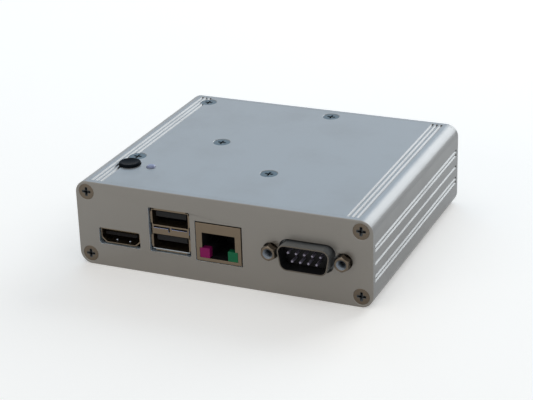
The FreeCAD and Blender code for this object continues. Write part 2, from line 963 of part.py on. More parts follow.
def serial_insulator():
    """Moulded block that fills the shell behind its face and carries the pins."""
    split = inner_front_y + serial_flange_t
    gap = serial_sheet_t + thread_fit
    face_y = inner_front_y - serial_face
    nose = prism(serial_outline(serial_w, serial_h, serial_corner_r, -gap), face_y, split + 1)
    rear_y = serial_body_rear()
    body = prism(serial_outline(serial_body_w, serial_body_h, serial_corner_r, -gap), split, rear_y)
    return joined([nose, body]).cut(pin_bars(face_y, rear_y))


def serial_body_rear():
    """Rear face of the moulded block."""
    return inner_front_y + serial_flange_t + serial_body_depth + serial_body_proud


def pin_places():
    """Pins as (x, z): the longer row on top, the shorter row below between its pins."""
    upper = (pin_count + 1) // 2
    places = []
    for count, z in ((upper, pin_rows / 2), (pin_count - upper, -pin_rows / 2)):
        for i in range(count):
            places.append((serial_x + (i - (count - 1) / 2) * pin_pitch, serial_z + z))
    return places


def pin_bars(y0, y1):
    """Eight-sided bars of the pins between two planes."""
    along = Vector(0, 1, 0)
    bars = []
    for x, z in pin_places():
        bar = faceted(0, 0, pin_r, 0, y1 - y0, pin_sides)
        bars.append(placed(bar, Vector(x, y0, z), along))
    return bars


def serial_pins():
    """Pins from just inside the mouth of the shell to their tails in the boot."""
    return pin_bars(inner_front_y - serial_reach + pin_sunk, serial_body_rear() + pin_tail)


def jackscrews():
    """Hexagonal jackscrews that clamp the plate to the flange and take the plug's own screws."""
    screws = []
    corner = jack_flats / math.sqrt(3)
    envelope = [
        (0, 0),
        (corner, 0),
        (corner, jack_reach - jack_bevel),
        (corner - jack_bevel, jack_reach),
        (0, jack_reach),
    ]
    for x in jack_places():
        head = faceted(0, 0, corner, 0, jack_reach, 6)
        head = head.common(turned(envelope, Vector(0, 0, 0), Vector(0, 0, 1)))
        stud = faceted(0, 0, thread_r, -jack_thread_length, 0)
        bore = post(0, 0, jack_bore_r, jack_reach - jack_bore_depth, jack_reach + 1)
        screw = head.fuse(stud).cut(bore)
        place = Vector(x, inner_front_y - jack_web, serial_z)
        screws.append(placed(screw, place, Vector(0, -1, 0)))
    return screws


def clinch_nuts():
    """Nuts behind the flange that the jackscrews are driven into."""
    nuts = []
    y0 = inner_front_y + 2 * serial_flange_t
    for x in jack_places():
        body = faceted(0, 0, jack_flats / math.sqrt(3), 0, nut_t, 6)
        nut = body.cut(faceted(0, 0, pilot_r, -1, nut_t + 1))
        nuts.append(placed(nut, Vector(x, y0, serial_z), Vector(0, 1, 0)))
    return nuts


def plug_middle_y():
    """Middle of the serial plug along Y, behind the front right spacer."""
    return hole_y0 + plug_from_hole


def serial_boot():
    """Moulded boot over the tails of the pins, which the ribbon leaves at its rear."""
    y0 = serial_body_rear()
    half = pin_count * ribbon_pitch / 2 + boot_wall
    z0 = serial_z - boot_h / 2
    body = box(serial_x - half, serial_x + half, y0, y0 + boot_depth, z0, z0 + boot_h)
    return body.cut(pin_bars(y0, y0 + pin_tail))


def serial_ribbon():
    """Flat ribbon: straight back, folded over at 45 degrees, then across to the plug."""
    half = pin_count * ribbon_pitch / 2
    z0 = serial_z - ribbon_t / 2
    x0 = serial_x - half
    x1 = serial_x + half
    y0 = plug_middle_y() - half
    y1 = plug_middle_y() + half
    start = serial_body_rear() + boot_depth
    right = plug_right()
    back = [(x0, start), (x1, start), (x1, y0), (x0, y1)]
    across = [(x1, y0), (x0, y1), (right, y1), (right, y0)]
    strips = []
    for corners, z in ((back, z0), (across, z0 + ribbon_t + fold_gap)):
        points = [Vector(x, y, z) for x, y in corners]
        points.append(points[0])
        strips.append(Part.Face(Part.makePolygon(points)).extrude(Vector(0, 0, ribbon_t)))
    edge = [(x1, y0), (x1 + fold_w, y0 + fold_w), (x0 + fold_w, y1 + fold_w), (x0, y1), (x1, y0)]
    line = Part.makePolygon([Vector(x, y, z0) for x, y in edge])
    fold = Part.Face(line).extrude(Vector(0, 0, 2 * ribbon_t + fold_gap))
    return joined(strips + [fold])


def plug_right():
    """Right face of the serial plug, level with the edge of the board."""
    return board_x1 - thread_fit


def plug_length():
    """Length of the serial plug along Y."""
    return pin_count * ribbon_pitch + 2 * plug_wall


def serial_header():
    """Header on the board that the serial plug is pushed onto."""
    x = plug_right() - plug_w / 2
    width = plug_w - 2 * header_fit
    length = plug_length() - 2 * header_fit
    return block(x, plug_middle_y(), width, length, board_z1, board_z1 + header_h)


def serial_plug():
    """Plug on the header that the ribbon enters from the side."""
    x = plug_right() - plug_w / 2
    z0 = board_z1 + header_h
    return block(x, plug_middle_y(), plug_w, plug_length(), z0, z0 + plug_h)


def power_button():
    """Round cap with a bevelled rim and a dished top, a retaining collar and a long stem."""
    top = case_h + button_proud
    collar_z = ceiling_z - collar_t
    collar_r = button_r + button_fit + collar_rim
    rim = button_r - button_bevel
    bottom = plunger_top()
    profile = [
        (0, bottom),
        (stem_r, bottom),
        (stem_r, collar_z),
        (collar_r, collar_z),
        (collar_r, ceiling_z),
        (button_r, ceiling_z),
        (button_r, top - button_bevel),
        (rim, top),
        (rim - button_rim_w, top),
        (rim - button_rim_w - button_dish, top - button_dish),
        (0, top - button_dish),
    ]
    return turned(profile, Vector(button_x, button_y, 0), Vector(0, 0, 1))


def switch_heights():
    """Roof of the switch, underside of its roof, and the plunger's foot at rest."""
    roof = board_z1 + switch_h
    ceiling = roof - switch_wall
    return roof, ceiling, ceiling - plunger_foot_t


def plunger_top():
    """Top of the switch plunger at rest."""
    return board_z1 + switch_h + plunger_reach


def switch_body():
    """Switch housing: a square cup closed by a roof that keeps the plunger in."""
    roof, ceiling, _ = switch_heights()
    body = block(button_x, button_y, switch_size, switch_size, board_z1, roof)
    floor = board_z1 + switch_wall
    chamber = faceted(button_x, button_y, plunger_foot_r + slide_fit, floor, ceiling)
    opening = faceted(button_x, button_y, plunger_r + slide_fit, ceiling - 1, roof + 1)
    return body.cut([chamber, opening])


def switch_plunger():
    """Plunger with a wider foot under the roof of the switch."""
    _, ceiling, foot_z = switch_heights()
    foot = faceted(button_x, button_y, plunger_foot_r, foot_z, ceiling)
    pin = faceted(button_x, button_y, plunger_r, foot_z, plunger_top())
    return foot.fuse(pin).removeSplitter()


def switch_dome():
    """Shallow snap dome that pushes the plunger back up."""
    _, _, foot_z = switch_heights()
    floor = board_z1 + switch_wall
    rise = foot_z - floor - dome_t
    outer = stepped([(dome_r, 0), (dome_r, dome_t), (dome_flat_r, rise + dome_t)])
    inner = stepped([(dome_r - dome_t, 0), (dome_flat_r, rise)])
    return placed(outer.cut(inner), Vector(button_x, button_y, floor), Vector(0, 0, 1))


def indicator_lens():
    """Clear light guide with a collar under the top wall, standing on the lamp."""
    foot = board_z1 + lamp_h
    collar_z = ceiling_z - lens_collar_t
    profile = [
        (0, foot),
        (lens_r, foot),
        (lens_r, collar_z),
        (lens_collar_r, collar_z),
        (lens_collar_r, ceiling_z),
        (lens_r, ceiling_z),
        (lens_r, case_h),
        (lens_r - lens_proud, case_h + lens_proud),
        (0, case_h + lens_proud),
    ]
    return turned(profile, Vector(lens_x, lens_y, 0), Vector(0, 0, 1))


def indicator_lamp():
    """Small lamp on the board under the light guide."""
    return block(lens_x, lens_y, lamp_size, lamp_size, board_z1, board_z1 + lamp_h)


def processor():
    """Processor with a smaller die on its carrier."""
    carrier_z = board_z1 + processor_h / 2
    carrier = block(processor_x, processor_y, processor_size, processor_size, board_z1, carrier_z)
    die = processor_size * 0.7
    lid = block(processor_x, processor_y, die, die, carrier_z, board_z1 + processor_h)
    return carrier.fuse(lid)


def thermal_pad():
    """Soft pad between the processor and the heat block."""
    size = processor_size * 0.7
    z0 = board_z1 + processor_h
    return block(processor_x, processor_y, size, size, z0, z0 + pad_t)


def heat_block():
    """Aluminium block that carries the heat to the top wall."""
    z0 = board_z1 + processor_h + pad_t
    body = block(processor_x, processor_y, heat_block_size, heat_block_size, z0, ceiling_z)
    upright = [e for e in body.Edges if abs(e.Vertexes[0].Z - e.Vertexes[1].Z) > 1]
    body = body.makeChamfer(heat_block_edge, upright)
    depth = block_screw_length + 1
    return body.cut(faceted(processor_x, processor_y, pilot_r, case_h - depth, ceiling_z + 1))


def memory_chips():
    """Two memory chips in a column to the left of the heat block."""
    x = processor_x - heat_block_size / 2 - part_spacing - memory_w / 2
    step = (memory_l + memory_gap) / 2
    z1 = board_z1 + memory_h
    return [block(x, processor_y + s * step, memory_w, memory_l, board_z1, z1) for s in (-1, 1)]


def controller_chips():
    """Two controllers in a row between the sockets and the heat block."""
    y = processor_y - heat_block_size / 2 - part_spacing - controller_size / 2
    step = (controller_size + controller_gap) / 2
    z1 = board_z1 + controller_h
    size = controller_size
    return [block(processor_x + s * step, y, size, size, board_z1, z1) for s in (-1, 1)]


def storage_chip():
    """Storage chip behind the heat block."""
    y = processor_y + (heat_block_size + storage_size) / 2 + part_spacing
    return block(processor_x, y, storage_size, storage_size, board_z1, board_z1 + storage_h)


def coils():
    """Row of closed supply coils to the right of the heat block."""
    x = processor_x + (heat_block_size + coil_size) / 2 + part_spacing
    solids = []
    for i in range(coil_count):
        y = processor_y + coil_back + (i - (coil_count - 1) / 2) * (coil_size + coil_gap)
        body = block(x, y, coil_size, coil_size, board_z1, board_z1 + coil_h)
        upright = [e for e in body.Edges if abs(e.Vertexes[0].Z - e.Vertexes[1].Z) > 1]
        solids.append(body.makeChamfer(coil_edge, upright))
    return solids


def capacitors():
    """Row of can capacitors beside the power inlet, each with a bevelled top edge."""
    y = board_y1 - hole_inset
    step = 2 * can_r + can_gap
    first = inlet_x + inlet_w / 2 + can_gap + can_r
    rings = [(can_r, 0), (can_r, can_h - can_edge), (can_r - can_edge, can_h)]
    places = [Vector(first + i * step, y, board_z1) for i in range(can_count)]
    return [placed(stepped(rings), place, Vector(0, 0, 1)) for place in places]


def inlet_span():
    """Front and rear face of the power inlet's body and the height of its bore."""
    y1 = inner_rear_y - inlet_plate_gap
    return y1 - inlet_depth, y1, board_z1 + inlet_h / 2


def inlet_body():
    """Moulded block of the power inlet with its blind bore."""
    y0, y1, z = inlet_span()
    body = block(inlet_x, (y0 + y1) / 2, inlet_w, inlet_depth, board_z1, board_z1 + inlet_h)
    return body.cut(rod(inlet_x, z, inlet_bore_r, y1 - inlet_bore_depth, y1 + 1))


def inlet_pin():
    """Centre pin of the power inlet, with a bevelled tip."""
    _, y1, z = inlet_span()
    length = inlet_bore_depth - inlet_pin_sunk
    bevel = inlet_pin_r / 3
    rings = [(inlet_pin_r, 0), (inlet_pin_r, length - bevel), (inlet_pin_r - bevel, length)]
    return placed(stepped(rings), Vector(inlet_x, y1 - inlet_bore_depth, z), Vector(0, 1, 0))


def write(node, shape):
    """Write one piece, or a group of like pieces, to its own file."""
    solids = shape if isinstance(shape, list) else [shape]
    solids = [solid for piece in solids for solid in piece.Solids]
    whole = solids[0] if len(solids) == 1 else Part.makeCompound(solids)
    if not whole.isValid():
        raise ValueError(node + " isn't a valid shape")
    whole.exportStep("parts/" + node + ".step")


def main():
    """Build every piece."""
    os.makedirs("parts", exist_ok=True)
    light_left, light_right = network_lights()
    write("case_profile", case_profile())
    write("front_plate", front_plate())
    write("rear_plate", rear_plate())
    write("front_plate_screws", plate_screws(front_y, -1))
    write("rear_plate_screws", plate_screws(rear_y, 1))
    write("board_top_screws", board_top_screws())
    write("heat_block_screw", heat_block_screw())
    write("main_board", main_board())
    write("board_spacers", board_spacers())
    write("board_screws", board_screws())
    write("video_socket_shell", video_shell())
    write("video_socket_insulator", video_insulator())
    write("video_socket_contacts", video_contacts())
    write("host_socket_shell", host_shell())
    write("host_socket_insulator", host_insulator())
    write("host_socket_contacts", host_contacts())
    write("network_socket_shield", network_shield())
    write("network_socket_housing", network_housing())
    write("network_socket_contacts", network_contacts())
    write("network_light_left", light_left)
    write("network_light_right", light_right)
    write("serial_shell", serial_shell())
    write("serial_rear_shell", serial_rear_shell())
    write("serial_insulator", serial_insulator())
    write("serial_pins", serial_pins())
    write("serial_jackscrews", jackscrews())
    write("serial_nuts", clinch_nuts())
    write("serial_boot", serial_boot())
    write("serial_ribbon", serial_ribbon())
    write("serial_header", serial_header())
    write("serial_plug", serial_plug())
    write("power_button", power_button())
    write("switch_body", switch_body())
    write("switch_plunger", switch_plunger())
    write("switch_dome", switch_dome())
    write("indicator_lens", indicator_lens())
    write("indicator_lamp", indicator_lamp())
    write("processor", processor())
    write("thermal_pad", thermal_pad())
    write("heat_block", heat_block())
    write("memory_chips", memory_chips())
    write("controller_chips", controller_chips())
    write("storage_chip", storage_chip())
    write("supply_coils", coils())
    write("supply_capacitors", capacitors())
    write("power_inlet_body", inlet_body())
    write("power_inlet_pin", inlet_pin())


main()
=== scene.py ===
import itertools
import json
import math

import bmesh
import bpy
import numpy as np
from bpy.props import FloatProperty, FloatVectorProperty, IntProperty, PointerProperty
from mathutils import Matrix, Vector

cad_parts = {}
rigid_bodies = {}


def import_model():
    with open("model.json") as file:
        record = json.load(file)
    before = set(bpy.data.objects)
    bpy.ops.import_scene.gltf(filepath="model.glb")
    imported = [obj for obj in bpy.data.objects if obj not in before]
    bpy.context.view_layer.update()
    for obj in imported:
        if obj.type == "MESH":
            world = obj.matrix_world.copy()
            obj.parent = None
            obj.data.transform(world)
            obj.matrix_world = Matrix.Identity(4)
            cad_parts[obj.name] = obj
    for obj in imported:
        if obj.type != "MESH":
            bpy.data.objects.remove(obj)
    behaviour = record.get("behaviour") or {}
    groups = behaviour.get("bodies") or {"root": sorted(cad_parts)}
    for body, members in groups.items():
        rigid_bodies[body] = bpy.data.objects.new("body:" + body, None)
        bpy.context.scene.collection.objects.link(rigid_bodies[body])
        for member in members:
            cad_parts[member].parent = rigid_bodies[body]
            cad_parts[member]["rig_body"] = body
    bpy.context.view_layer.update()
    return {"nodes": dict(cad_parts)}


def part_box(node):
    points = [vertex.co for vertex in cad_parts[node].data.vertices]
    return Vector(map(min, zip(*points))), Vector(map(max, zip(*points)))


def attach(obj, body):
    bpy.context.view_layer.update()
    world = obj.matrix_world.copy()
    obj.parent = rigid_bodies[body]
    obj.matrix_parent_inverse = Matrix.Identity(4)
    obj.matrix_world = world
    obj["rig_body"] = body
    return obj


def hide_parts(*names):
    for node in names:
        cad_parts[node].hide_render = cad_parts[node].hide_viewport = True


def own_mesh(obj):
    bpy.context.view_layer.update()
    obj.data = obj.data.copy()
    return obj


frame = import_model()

bl_info = {
    "name": "Digital signage player",
    "version": (1, 0, 0),
    "blender": (4, 5, 0),
    "location": "3D View > Sidebar > Player",
    "description": "Dresses the parts of a small fanless signage player and sets its stage",
    "category": "Object",
}

MM = 0.001
UP = (0, 0, 1)
DOWN = (0, 0, -1)
FRONT = (0, -1, 0)
REAR = (0, 1, 0)

# Sizes in millimetres that several steps use

CEILING = 28.0
COLLAR_HEIGHT = 0.8
PLATE_HEAD_RADIUS = 2.8
TOP_HEAD_RADIUS = 3.0
SHANK_RADIUS = 1.45
ARM_WIDTH = 0.6
ARM_REACH = 1.6
RECESS_WALL = 0.03
HEX_FLATS = 4.75
HEX_CORNER = HEX_FLATS / math.sqrt(3)


def node_box(node):
    """Lowest and highest corner of a CAD node, in millimetres."""
    low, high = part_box(node)
    return np.array(low) / MM, np.array(high) / MM


# Sizes and colours that a user may change

COLOR = {"subtype": "COLOR", "size": 3, "min": 0, "max": 1}
LENGTH = {"subtype": "DISTANCE", "unit": "LENGTH", "min": 0}
POWER = {"subtype": "POWER", "unit": "POWER", "min": 0}


class CaseLook(bpy.types.PropertyGroup):
    """Finish of the profile, the end plates and their screws"""
    profile_color: FloatVectorProperty(
        name="Profile", description="Colour of the anodised profile",
        default=(0.208, 0.21, 0.211), **COLOR)
    plate_color: FloatVectorProperty(
        name="End plates", description="Colour of the front and rear plate",
        default=(0.236, 0.223, 0.204), **COLOR)
    screw_color: FloatVectorProperty(
        name="Plate screws", description="Colour of the nickel plated screws",
        default=(0.13, 0.105, 0.08), **COLOR)
    top_screw_color: FloatVectorProperty(
        name="Top screws", description="Colour of the zinc plated screws",
        default=(0.024, 0.047, 0.06), **COLOR)
    edge: FloatProperty(
        name="Broken edge", description="Width of the broken edges of the profile and plates",
        default=0.0001, **LENGTH)


class SocketLook(bpy.types.PropertyGroup):
    """Finish of the sockets in the front plate"""
    shell_color: FloatVectorProperty(
        name="Shells", description="Colour of the folded socket shells",
        default=(0.17, 0.133, 0.095), **COLOR)
    left_light_color: FloatVectorProperty(
        name="Left light", description="Colour of the left light block",
        default=(0.26, 0.008, 0.11), **COLOR)
    right_light_color: FloatVectorProperty(
        name="Right light", description="Colour of the right light block",
        default=(0.007, 0.145, 0.062), **COLOR)
    sheet_edge: FloatProperty(
        name="Sheet edge", description="Rounding of the sheet metal edges",
        default=0.0001, **LENGTH)


class ButtonLook(bpy.types.PropertyGroup):
    """Shape and finish of the power button and the indicator"""
    dish: FloatProperty(
        name="Dish", description="Depth of the hollow in the top of the button",
        default=0.00035, **LENGTH)
    rim: FloatProperty(
        name="Rim", description="Radius of the rounded rim of the button",
        default=0.0005, **LENGTH)
    lens_rise: FloatProperty(
        name="Lens rise", description="Height of the light guide's round head above the case",
        default=0.0008, **LENGTH)
    segments: IntProperty(
        name="Segments", description="Segments round the button and the indicator",
        default=96, min=24, max=256)


class StageLook(bpy.types.PropertyGroup):
    """Lamps, surroundings and camera of the stage"""
    top_power: FloatProperty(
        name="Overhead softbox", description="Power of the softbox above the object",
        default=3.2, **POWER)
    sky_power: FloatProperty(
        name="Sky softbox", description="Power of the cool softbox behind the object on its left",
        default=2.9, **POWER)
    front_power: FloatProperty(
        name="Front fill", description="Power of the lamp in front of the object",
        default=2.6, **POWER)
    rear_power: FloatProperty(
        name="Rear softbox", description="Power of the softbox behind the object on its right",
        default=8.0, **POWER)
    ambient: FloatProperty(
        name="Surroundings", description="Strength of the even light from all round",
        default=0.33, min=0)
    lens: FloatProperty(
        name="Lens", description="Focal length of the camera",
        default=107.52, unit="CAMERA", min=1)


LOOKS = {
    "case_look": CaseLook,
    "socket_look": SocketLook,
    "button_look": ButtonLook,
    "stage_look": StageLook,
}


# Surfaces worked out as arrays

def mesh_from(name, parts):
    """Closed mesh from (points, quads) pairs in millimetres, with the points that meet merged."""
    points = np.concatenate([part[0] for part in parts]) * MM
    shifts = np.cumsum([0] + [len(part[0]) for part in parts[:-1]])
    quads = np.concatenate([part[1] + shift for part, shift in zip(parts, shifts)])
    mesh = bpy.data.meshes.new(name)
    mesh.vertices.add(len(points))
    mesh.vertices.foreach_set("co", points.astype(np.float32).ravel())
    mesh.loops.add(quads.size)
    mesh.loops.foreach_set("vertex_index", quads.astype(np.int32).ravel())
    mesh.polygons.add(len(quads))
    mesh.polygons.foreach_set("loop_start", np.arange(0, quads.size, 4, dtype=np.int32))
    mesh.update(calc_edges=True)
    tidy_mesh(mesh, merge=1e-7)
    return mesh


def tidy_mesh(mesh, merge):
    """Merges the points that meet, evens out the triangles of flat faces and turns the faces outwards."""
    work = bmesh.new()
    work.from_mesh(mesh)
    bmesh.ops.remove_doubles(work, verts=work.verts, dist=merge)
    bmesh.ops.dissolve_degenerate(work, edges=work.edges, dist=merge)
    if all(len(face.verts) == 3 for face in work.faces):
        flat = [edge for edge in work.edges if edge.is_manifold and edge.calc_face_angle() < 0.005]
        bmesh.ops.beautify_fill(work, faces=work.faces, edges=flat, method="ANGLE")
    bmesh.ops.recalc_face_normals(work, faces=work.faces)
    work.to_mesh(mesh)
    work.free()


def grid_quads(index):
    """Quads between the neighbours in a grid of point numbers."""
    quads = np.stack([index[:-1, :-1], index[1:, :-1], index[1:, 1:], index[:-1, 1:]], axis=-1)
    return quads.reshape(-1, 4)


def rings_to_quads(rings):
    """Points and quads of an array of rings, each closed on itself and joined to the next."""
    index = np.arange(rings.shape[0] * rings.shape[1]).reshape(rings.shape[:2])
    ahead = np.roll(index, -1, axis=1)
    quads = np.stack([index[:-1], ahead[:-1], ahead[1:], index[1:]], axis=-1)
    return rings.reshape(-1, 3), quads.reshape(-1, 4)


def rings_about_z(radii, levels, angle):
    """Surface of rings about Z: X and Y are the radius at each level and angle times its cosine and sine."""
    rings = np.empty((len(levels), len(angle), 3))
    rings[..., 0] = radii * np.cos(angle)
    rings[..., 1] = radii * np.sin(angle)
    rings[..., 2] = np.array(levels)[:, None]
    return rings_to_quads(rings)


def turned(profile, segments):
    """Surface of revolution about Z: each (radius, height) point of the profile is carried round a circle."""
    profile = np.asarray(profile, float)
    angle = np.linspace(0, 2 * np.pi, segments, endpoint=False)
    return rings_about_z(profile[:, :1], profile[:, 1], angle)


def arc_points(centre, radius, start, stop, steps):
    """Points of an arc about a (radius, height) centre, from the start to the stop angle in degrees."""
    angle = np.radians(np.linspace(start, stop, steps))
    return [(centre[0] + radius * math.cos(a), centre[1] + radius * math.sin(a)) for a in angle]


def collar_points(stem_radius, collar_radius, top_radius):
    """Points of a collar under the case's ceiling, between the stem below and the top above."""
    foot = CEILING - COLLAR_HEIGHT
    return [(stem_radius, foot), (collar_radius, foot), (collar_radius, CEILING), (top_radius, CEILING)]


def copied(part, places, direction=UP):
    """The part at each place, with its own Z turned to the direction."""
    turn = np.array(Vector(direction).to_track_quat("Z", "Y").to_matrix())
    points, quads = part
    turned_points = points @ turn.T
    return [(turned_points + np.asarray(place, float), quads) for place in places]


def corner_places(low, high, radius, axis, level):
    """Places a radius inside the corners of a box, at a level of the axis. They may meet in its middle."""
    sides = [sorted({round(low[i] + radius, 4), round(high[i] - radius, 4)}) for i in range(3)]
    sides[axis] = [level]
    return np.array(list(itertools.product(*sides)))


def thread_ridge(levels, angle, pitch):
    """Ridge of a thread from 0 to 1: it falls and rises with height over pitch less the share of a turn."""
    phase = levels[:, None] / pitch - angle[None, :] / (2 * np.pi)
    return np.abs((phase % 1.0) * 2 - 1)


def cross_depth(x, y):
    """Cross recess: each arm's floor rises evenly from the middle to its reach, between steep walls."""
    depth = 1.15

    def arm(along, across):
        slope = np.clip((ARM_REACH - np.abs(along)) / (ARM_REACH - ARM_WIDTH / 2), 0, 1)
        side = np.clip((ARM_WIDTH / 2 + RECESS_WALL - np.abs(across)) / (2 * RECESS_WALL), 0, 1)
        return slope * side
    return depth * np.maximum(arm(x, y), arm(y, x))


def screw_surface(disc_radius, rim, shank_from, length):
    """Screw along Z with its head's face at Z = 0: a square grid is bent onto a disc by
    x = u sqrt(1 - v v / 2) and y = v sqrt(1 - u u / 2), the cross recess lowers it, and its edge is carried
    down the rim and along a helix, where the radius falls and rises with the height and the angle."""
    pitch, groove = 0.5, 0.28
    tip = [(SHANK_RADIUS - 0.35, -length + 0.3), (SHANK_RADIUS - 0.6, -length), (0, -length)]
    # Lines of the grid from its middle outwards, two of them at the walls of the recess
    marks = np.array([0.1, 0.22, ARM_WIDTH / 2 - RECESS_WALL, ARM_WIDTH / 2 + RECESS_WALL,
                      0.55, 0.75, 1.0, 1.25, 1.5, 1.6, 1.85])
    marks = np.concatenate([marks[marks < disc_radius * 0.9], [disc_radius]]) / disc_radius
    line = np.concatenate([-marks[::-1], [0.0], marks])
    u, v = np.meshgrid(line, line, indexing="ij")
    x = u * np.sqrt(1 - v * v / 2) * disc_radius
    y = v * np.sqrt(1 - u * u / 2) * disc_radius
    face = np.stack([x, y, -cross_depth(x, y)], axis=-1).reshape(-1, 3)
    index = np.arange(len(face)).reshape(x.shape)
    edge = np.concatenate([index[:-1, 0], index[-1, :-1], index[:0:-1, -1], index[0, :0:-1]])
    around = face[edge, :2] / disc_radius
    angle = np.arctan2(around[:, 1], around[:, 0])
    heights = np.arange(shank_from - pitch / 2, -length + 0.6, -pitch / 4)
    even = np.ones(len(edge))
    rows = [(radius * even, level) for radius, level in [*rim, (SHANK_RADIUS, shank_from)]]
    rows += zip(SHANK_RADIUS - groove * thread_ridge(heights, angle, pitch), heights)
    rows += [(radius * even, level) for radius, level in tip]
    radii, levels = zip(*rows)
    body = np.empty((len(rows), len(edge), 3))
    body[..., :2] = np.array(radii)[..., None] * around
    body[..., 2] = np.array(levels)[:, None]
    points, quads = rings_to_quads(np.concatenate([face[edge][None], body]))
    return np.concatenate([face, points]), np.concatenate([grid_quads(index), quads + len(face)])


def jackscrew(length):
    """Jackscrew along Z with its open end at Z = 0. Its outside lies at the smaller of two radii: that of the
    hexagon, half its flats over the cosine of the angle from the middle of a flat, and that of the row.
    Inside the bore and on the stud the radius follows the ridge of the thread."""
    head, pitch, segments = 4.0, 0.635, 96
    angle = np.linspace(0, 2 * np.pi, segments, endpoint=False)
    hexagon = HEX_FLATS / 2 / np.cos(np.abs((angle + np.pi / 6) % (np.pi / 3) - np.pi / 6))
    even = np.ones(segments)
    bore = np.arange(-3.3, -0.45, pitch / 6)
    stud = np.arange(-length + 0.6, -head - pitch / 4, pitch / 6)[::-1]
    mouth = [(1.40, -0.42), (1.70, -0.03), (1.76, 0.0), (2.18, 0.0), (2.28, -0.03)]
    chamfer = [(radius, -0.05 - (radius - 2.32) * 1.2) for radius in np.linspace(2.32, HEX_CORNER, 10)]
    rows = [(0 * even, -3.35), (1.3 * even, -3.35)]
    rows += zip(1.12 + 0.28 * thread_ridge(bore, angle, pitch), bore)
    rows += [(radius * even, level) for radius, level in mouth]
    rows += [(np.minimum(hexagon, radius), level) for radius, level in chamfer]
    rows += [(hexagon, -head + 0.12), (hexagon - 0.12, -head), (1.4 * even, -head)]
    rows += zip(1.14 + 0.26 * thread_ridge(stud, angle, pitch), stud)
    rows += [(1.1 * even, -length + 0.3), (0.85 * even, -length), (0 * even, -length)]
    radii, levels = zip(*rows)
    return rings_about_z(np.array(radii), levels, angle)


# Pieces

def body_of_node(node):
    """Name of the body that carries a node."""
    return frame["nodes"][node]["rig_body"]


def linked(name, data):
    """New object with the data, in the scene."""
    item = bpy.data.objects.new(name, data)
    bpy.context.scene.collection.objects.link(item)
    return item


def add_piece(name, mesh, material, nodes, body=None):
    """Puts a finished mesh into the scene, on its body and in place of its nodes."""
    mesh.materials.clear()
    mesh.materials.append(material)
    piece = linked(name, mesh)
    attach(piece, body or body_of_node(nodes[0]))
    if nodes:
        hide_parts(*nodes)
    return piece


def smooth_by_angle(mesh, degrees):
    """Shades the mesh smooth, apart from edges sharper than the angle."""
    mesh.shade_smooth()
    mesh.set_sharp_from_angle(angle=math.radians(degrees))


def surface_piece(name, parts, material, nodes, degrees=38.0, body=None):
    """A piece from worked-out surfaces."""
    mesh = mesh_from(name, parts)
    smooth_by_angle(mesh, degrees)
    return add_piece(name, mesh, material, nodes, body)


def dressed(node, name, material, edge, segments=2):
    """A copy of a CAD node whose edges are rounded by a bevel, which then stands for the node."""
    degrees = 30.0
    mesh = frame["nodes"][node].data.copy()
    mesh.name = name
    tidy_mesh(mesh, merge=2e-6)
    smooth_by_angle(mesh, degrees)
    piece = add_piece(name, mesh, material, [node])
    if edge > 0:
        bevel = piece.modifiers.new("rounded edges", "BEVEL")
        bevel.width = edge
        bevel.segments = segments
        bevel.limit_method = "ANGLE"
        bevel.angle_limit = math.radians(degrees)
        bevel.use_clamp_overlap = True
        bevel.miter_outer = "MITER_ARC"
        bevel.face_strength_mode = "FSTR_ALL"
        shading = piece.modifiers.new("flat faces stay flat", "WEIGHTED_NORMAL")
        shading.use_face_influence = True
        shading.keep_sharp = True
    return piece


def read_rows(items, key):
    """Array with a row of three numbers for each of a mesh's vertices or faces."""
    values = np.empty(len(items) * 3, np.float32)
    items.foreach_get(key, values)
    return values.reshape(-1, 3)


def faces_of(mesh):
    """Centres in millimetres and normals of a mesh's faces."""
    return read_rows(mesh.polygons, "center") / MM, read_rows(mesh.polygons, "normal")


def mark_faces(mesh, name, chosen):
    """Face attribute that is 1 on the chosen faces."""
    mark = mesh.attributes.new(name, "FLOAT", "FACE")
    mark.data.foreach_set("value", chosen.astype(np.float32))


def finish_nodes(material, *nodes):
    """Gives CAD nodes that are shown as they are their own finish."""
    for node in nodes:
        mesh = frame["nodes"][node].data
        mesh.materials.clear()
        mesh.materials.append(material)


# Shader nodes

def feed(tree, node, inputs):
    """Sets inputs of a node to values, or links outputs to them."""
    for label, value in inputs.items():
        if isinstance(value, bpy.types.NodeSocket):
            tree.links.new(value, node.inputs[label])
        else:
            node.inputs[label].default_value = value
    return node


def combine(tree, operation, first, second, clamp=False):
    """Math node on two values, each a number or an output."""
    node = tree.nodes.new("ShaderNodeMath")
    node.operation = operation
    node.use_clamp = clamp
    return feed(tree, node, {0: first, 1: second}).outputs[0]


def weighted(tree, first, second, share):
    """Sum of the first value times its share and the second times the rest."""
    return combine(tree, "ADD", combine(tree, "MULTIPLY", first, share),
                   combine(tree, "MULTIPLY", second, 1 - share))


def mixed(tree, factor, first, second):
    """Mix of two colours, each an output or four numbers."""
    mix = tree.nodes.new("ShaderNodeMix")
    mix.data_type = "RGBA"
    return feed(tree, mix, {"Factor": factor, "A": first, "B": second}).outputs["Result"]


def noise_on(tree, place, scale, detail, roughness=0.55):
    """Noise texture whose scale is a number or an output."""
    noise = tree.nodes.new("ShaderNodeTexNoise")
    inputs = {"Vector": place, "Scale": scale, "Detail": detail, "Roughness": roughness}
    return feed(tree, noise, inputs).outputs["Fac"]


def stretched(tree, place, scale):
    """Coordinates stretched by a scale along each axis."""
    mapping = tree.nodes.new("ShaderNodeMapping")
    return feed(tree, mapping, {"Vector": place, "Scale": scale}).outputs["Vector"]


# Shader groups, each built once

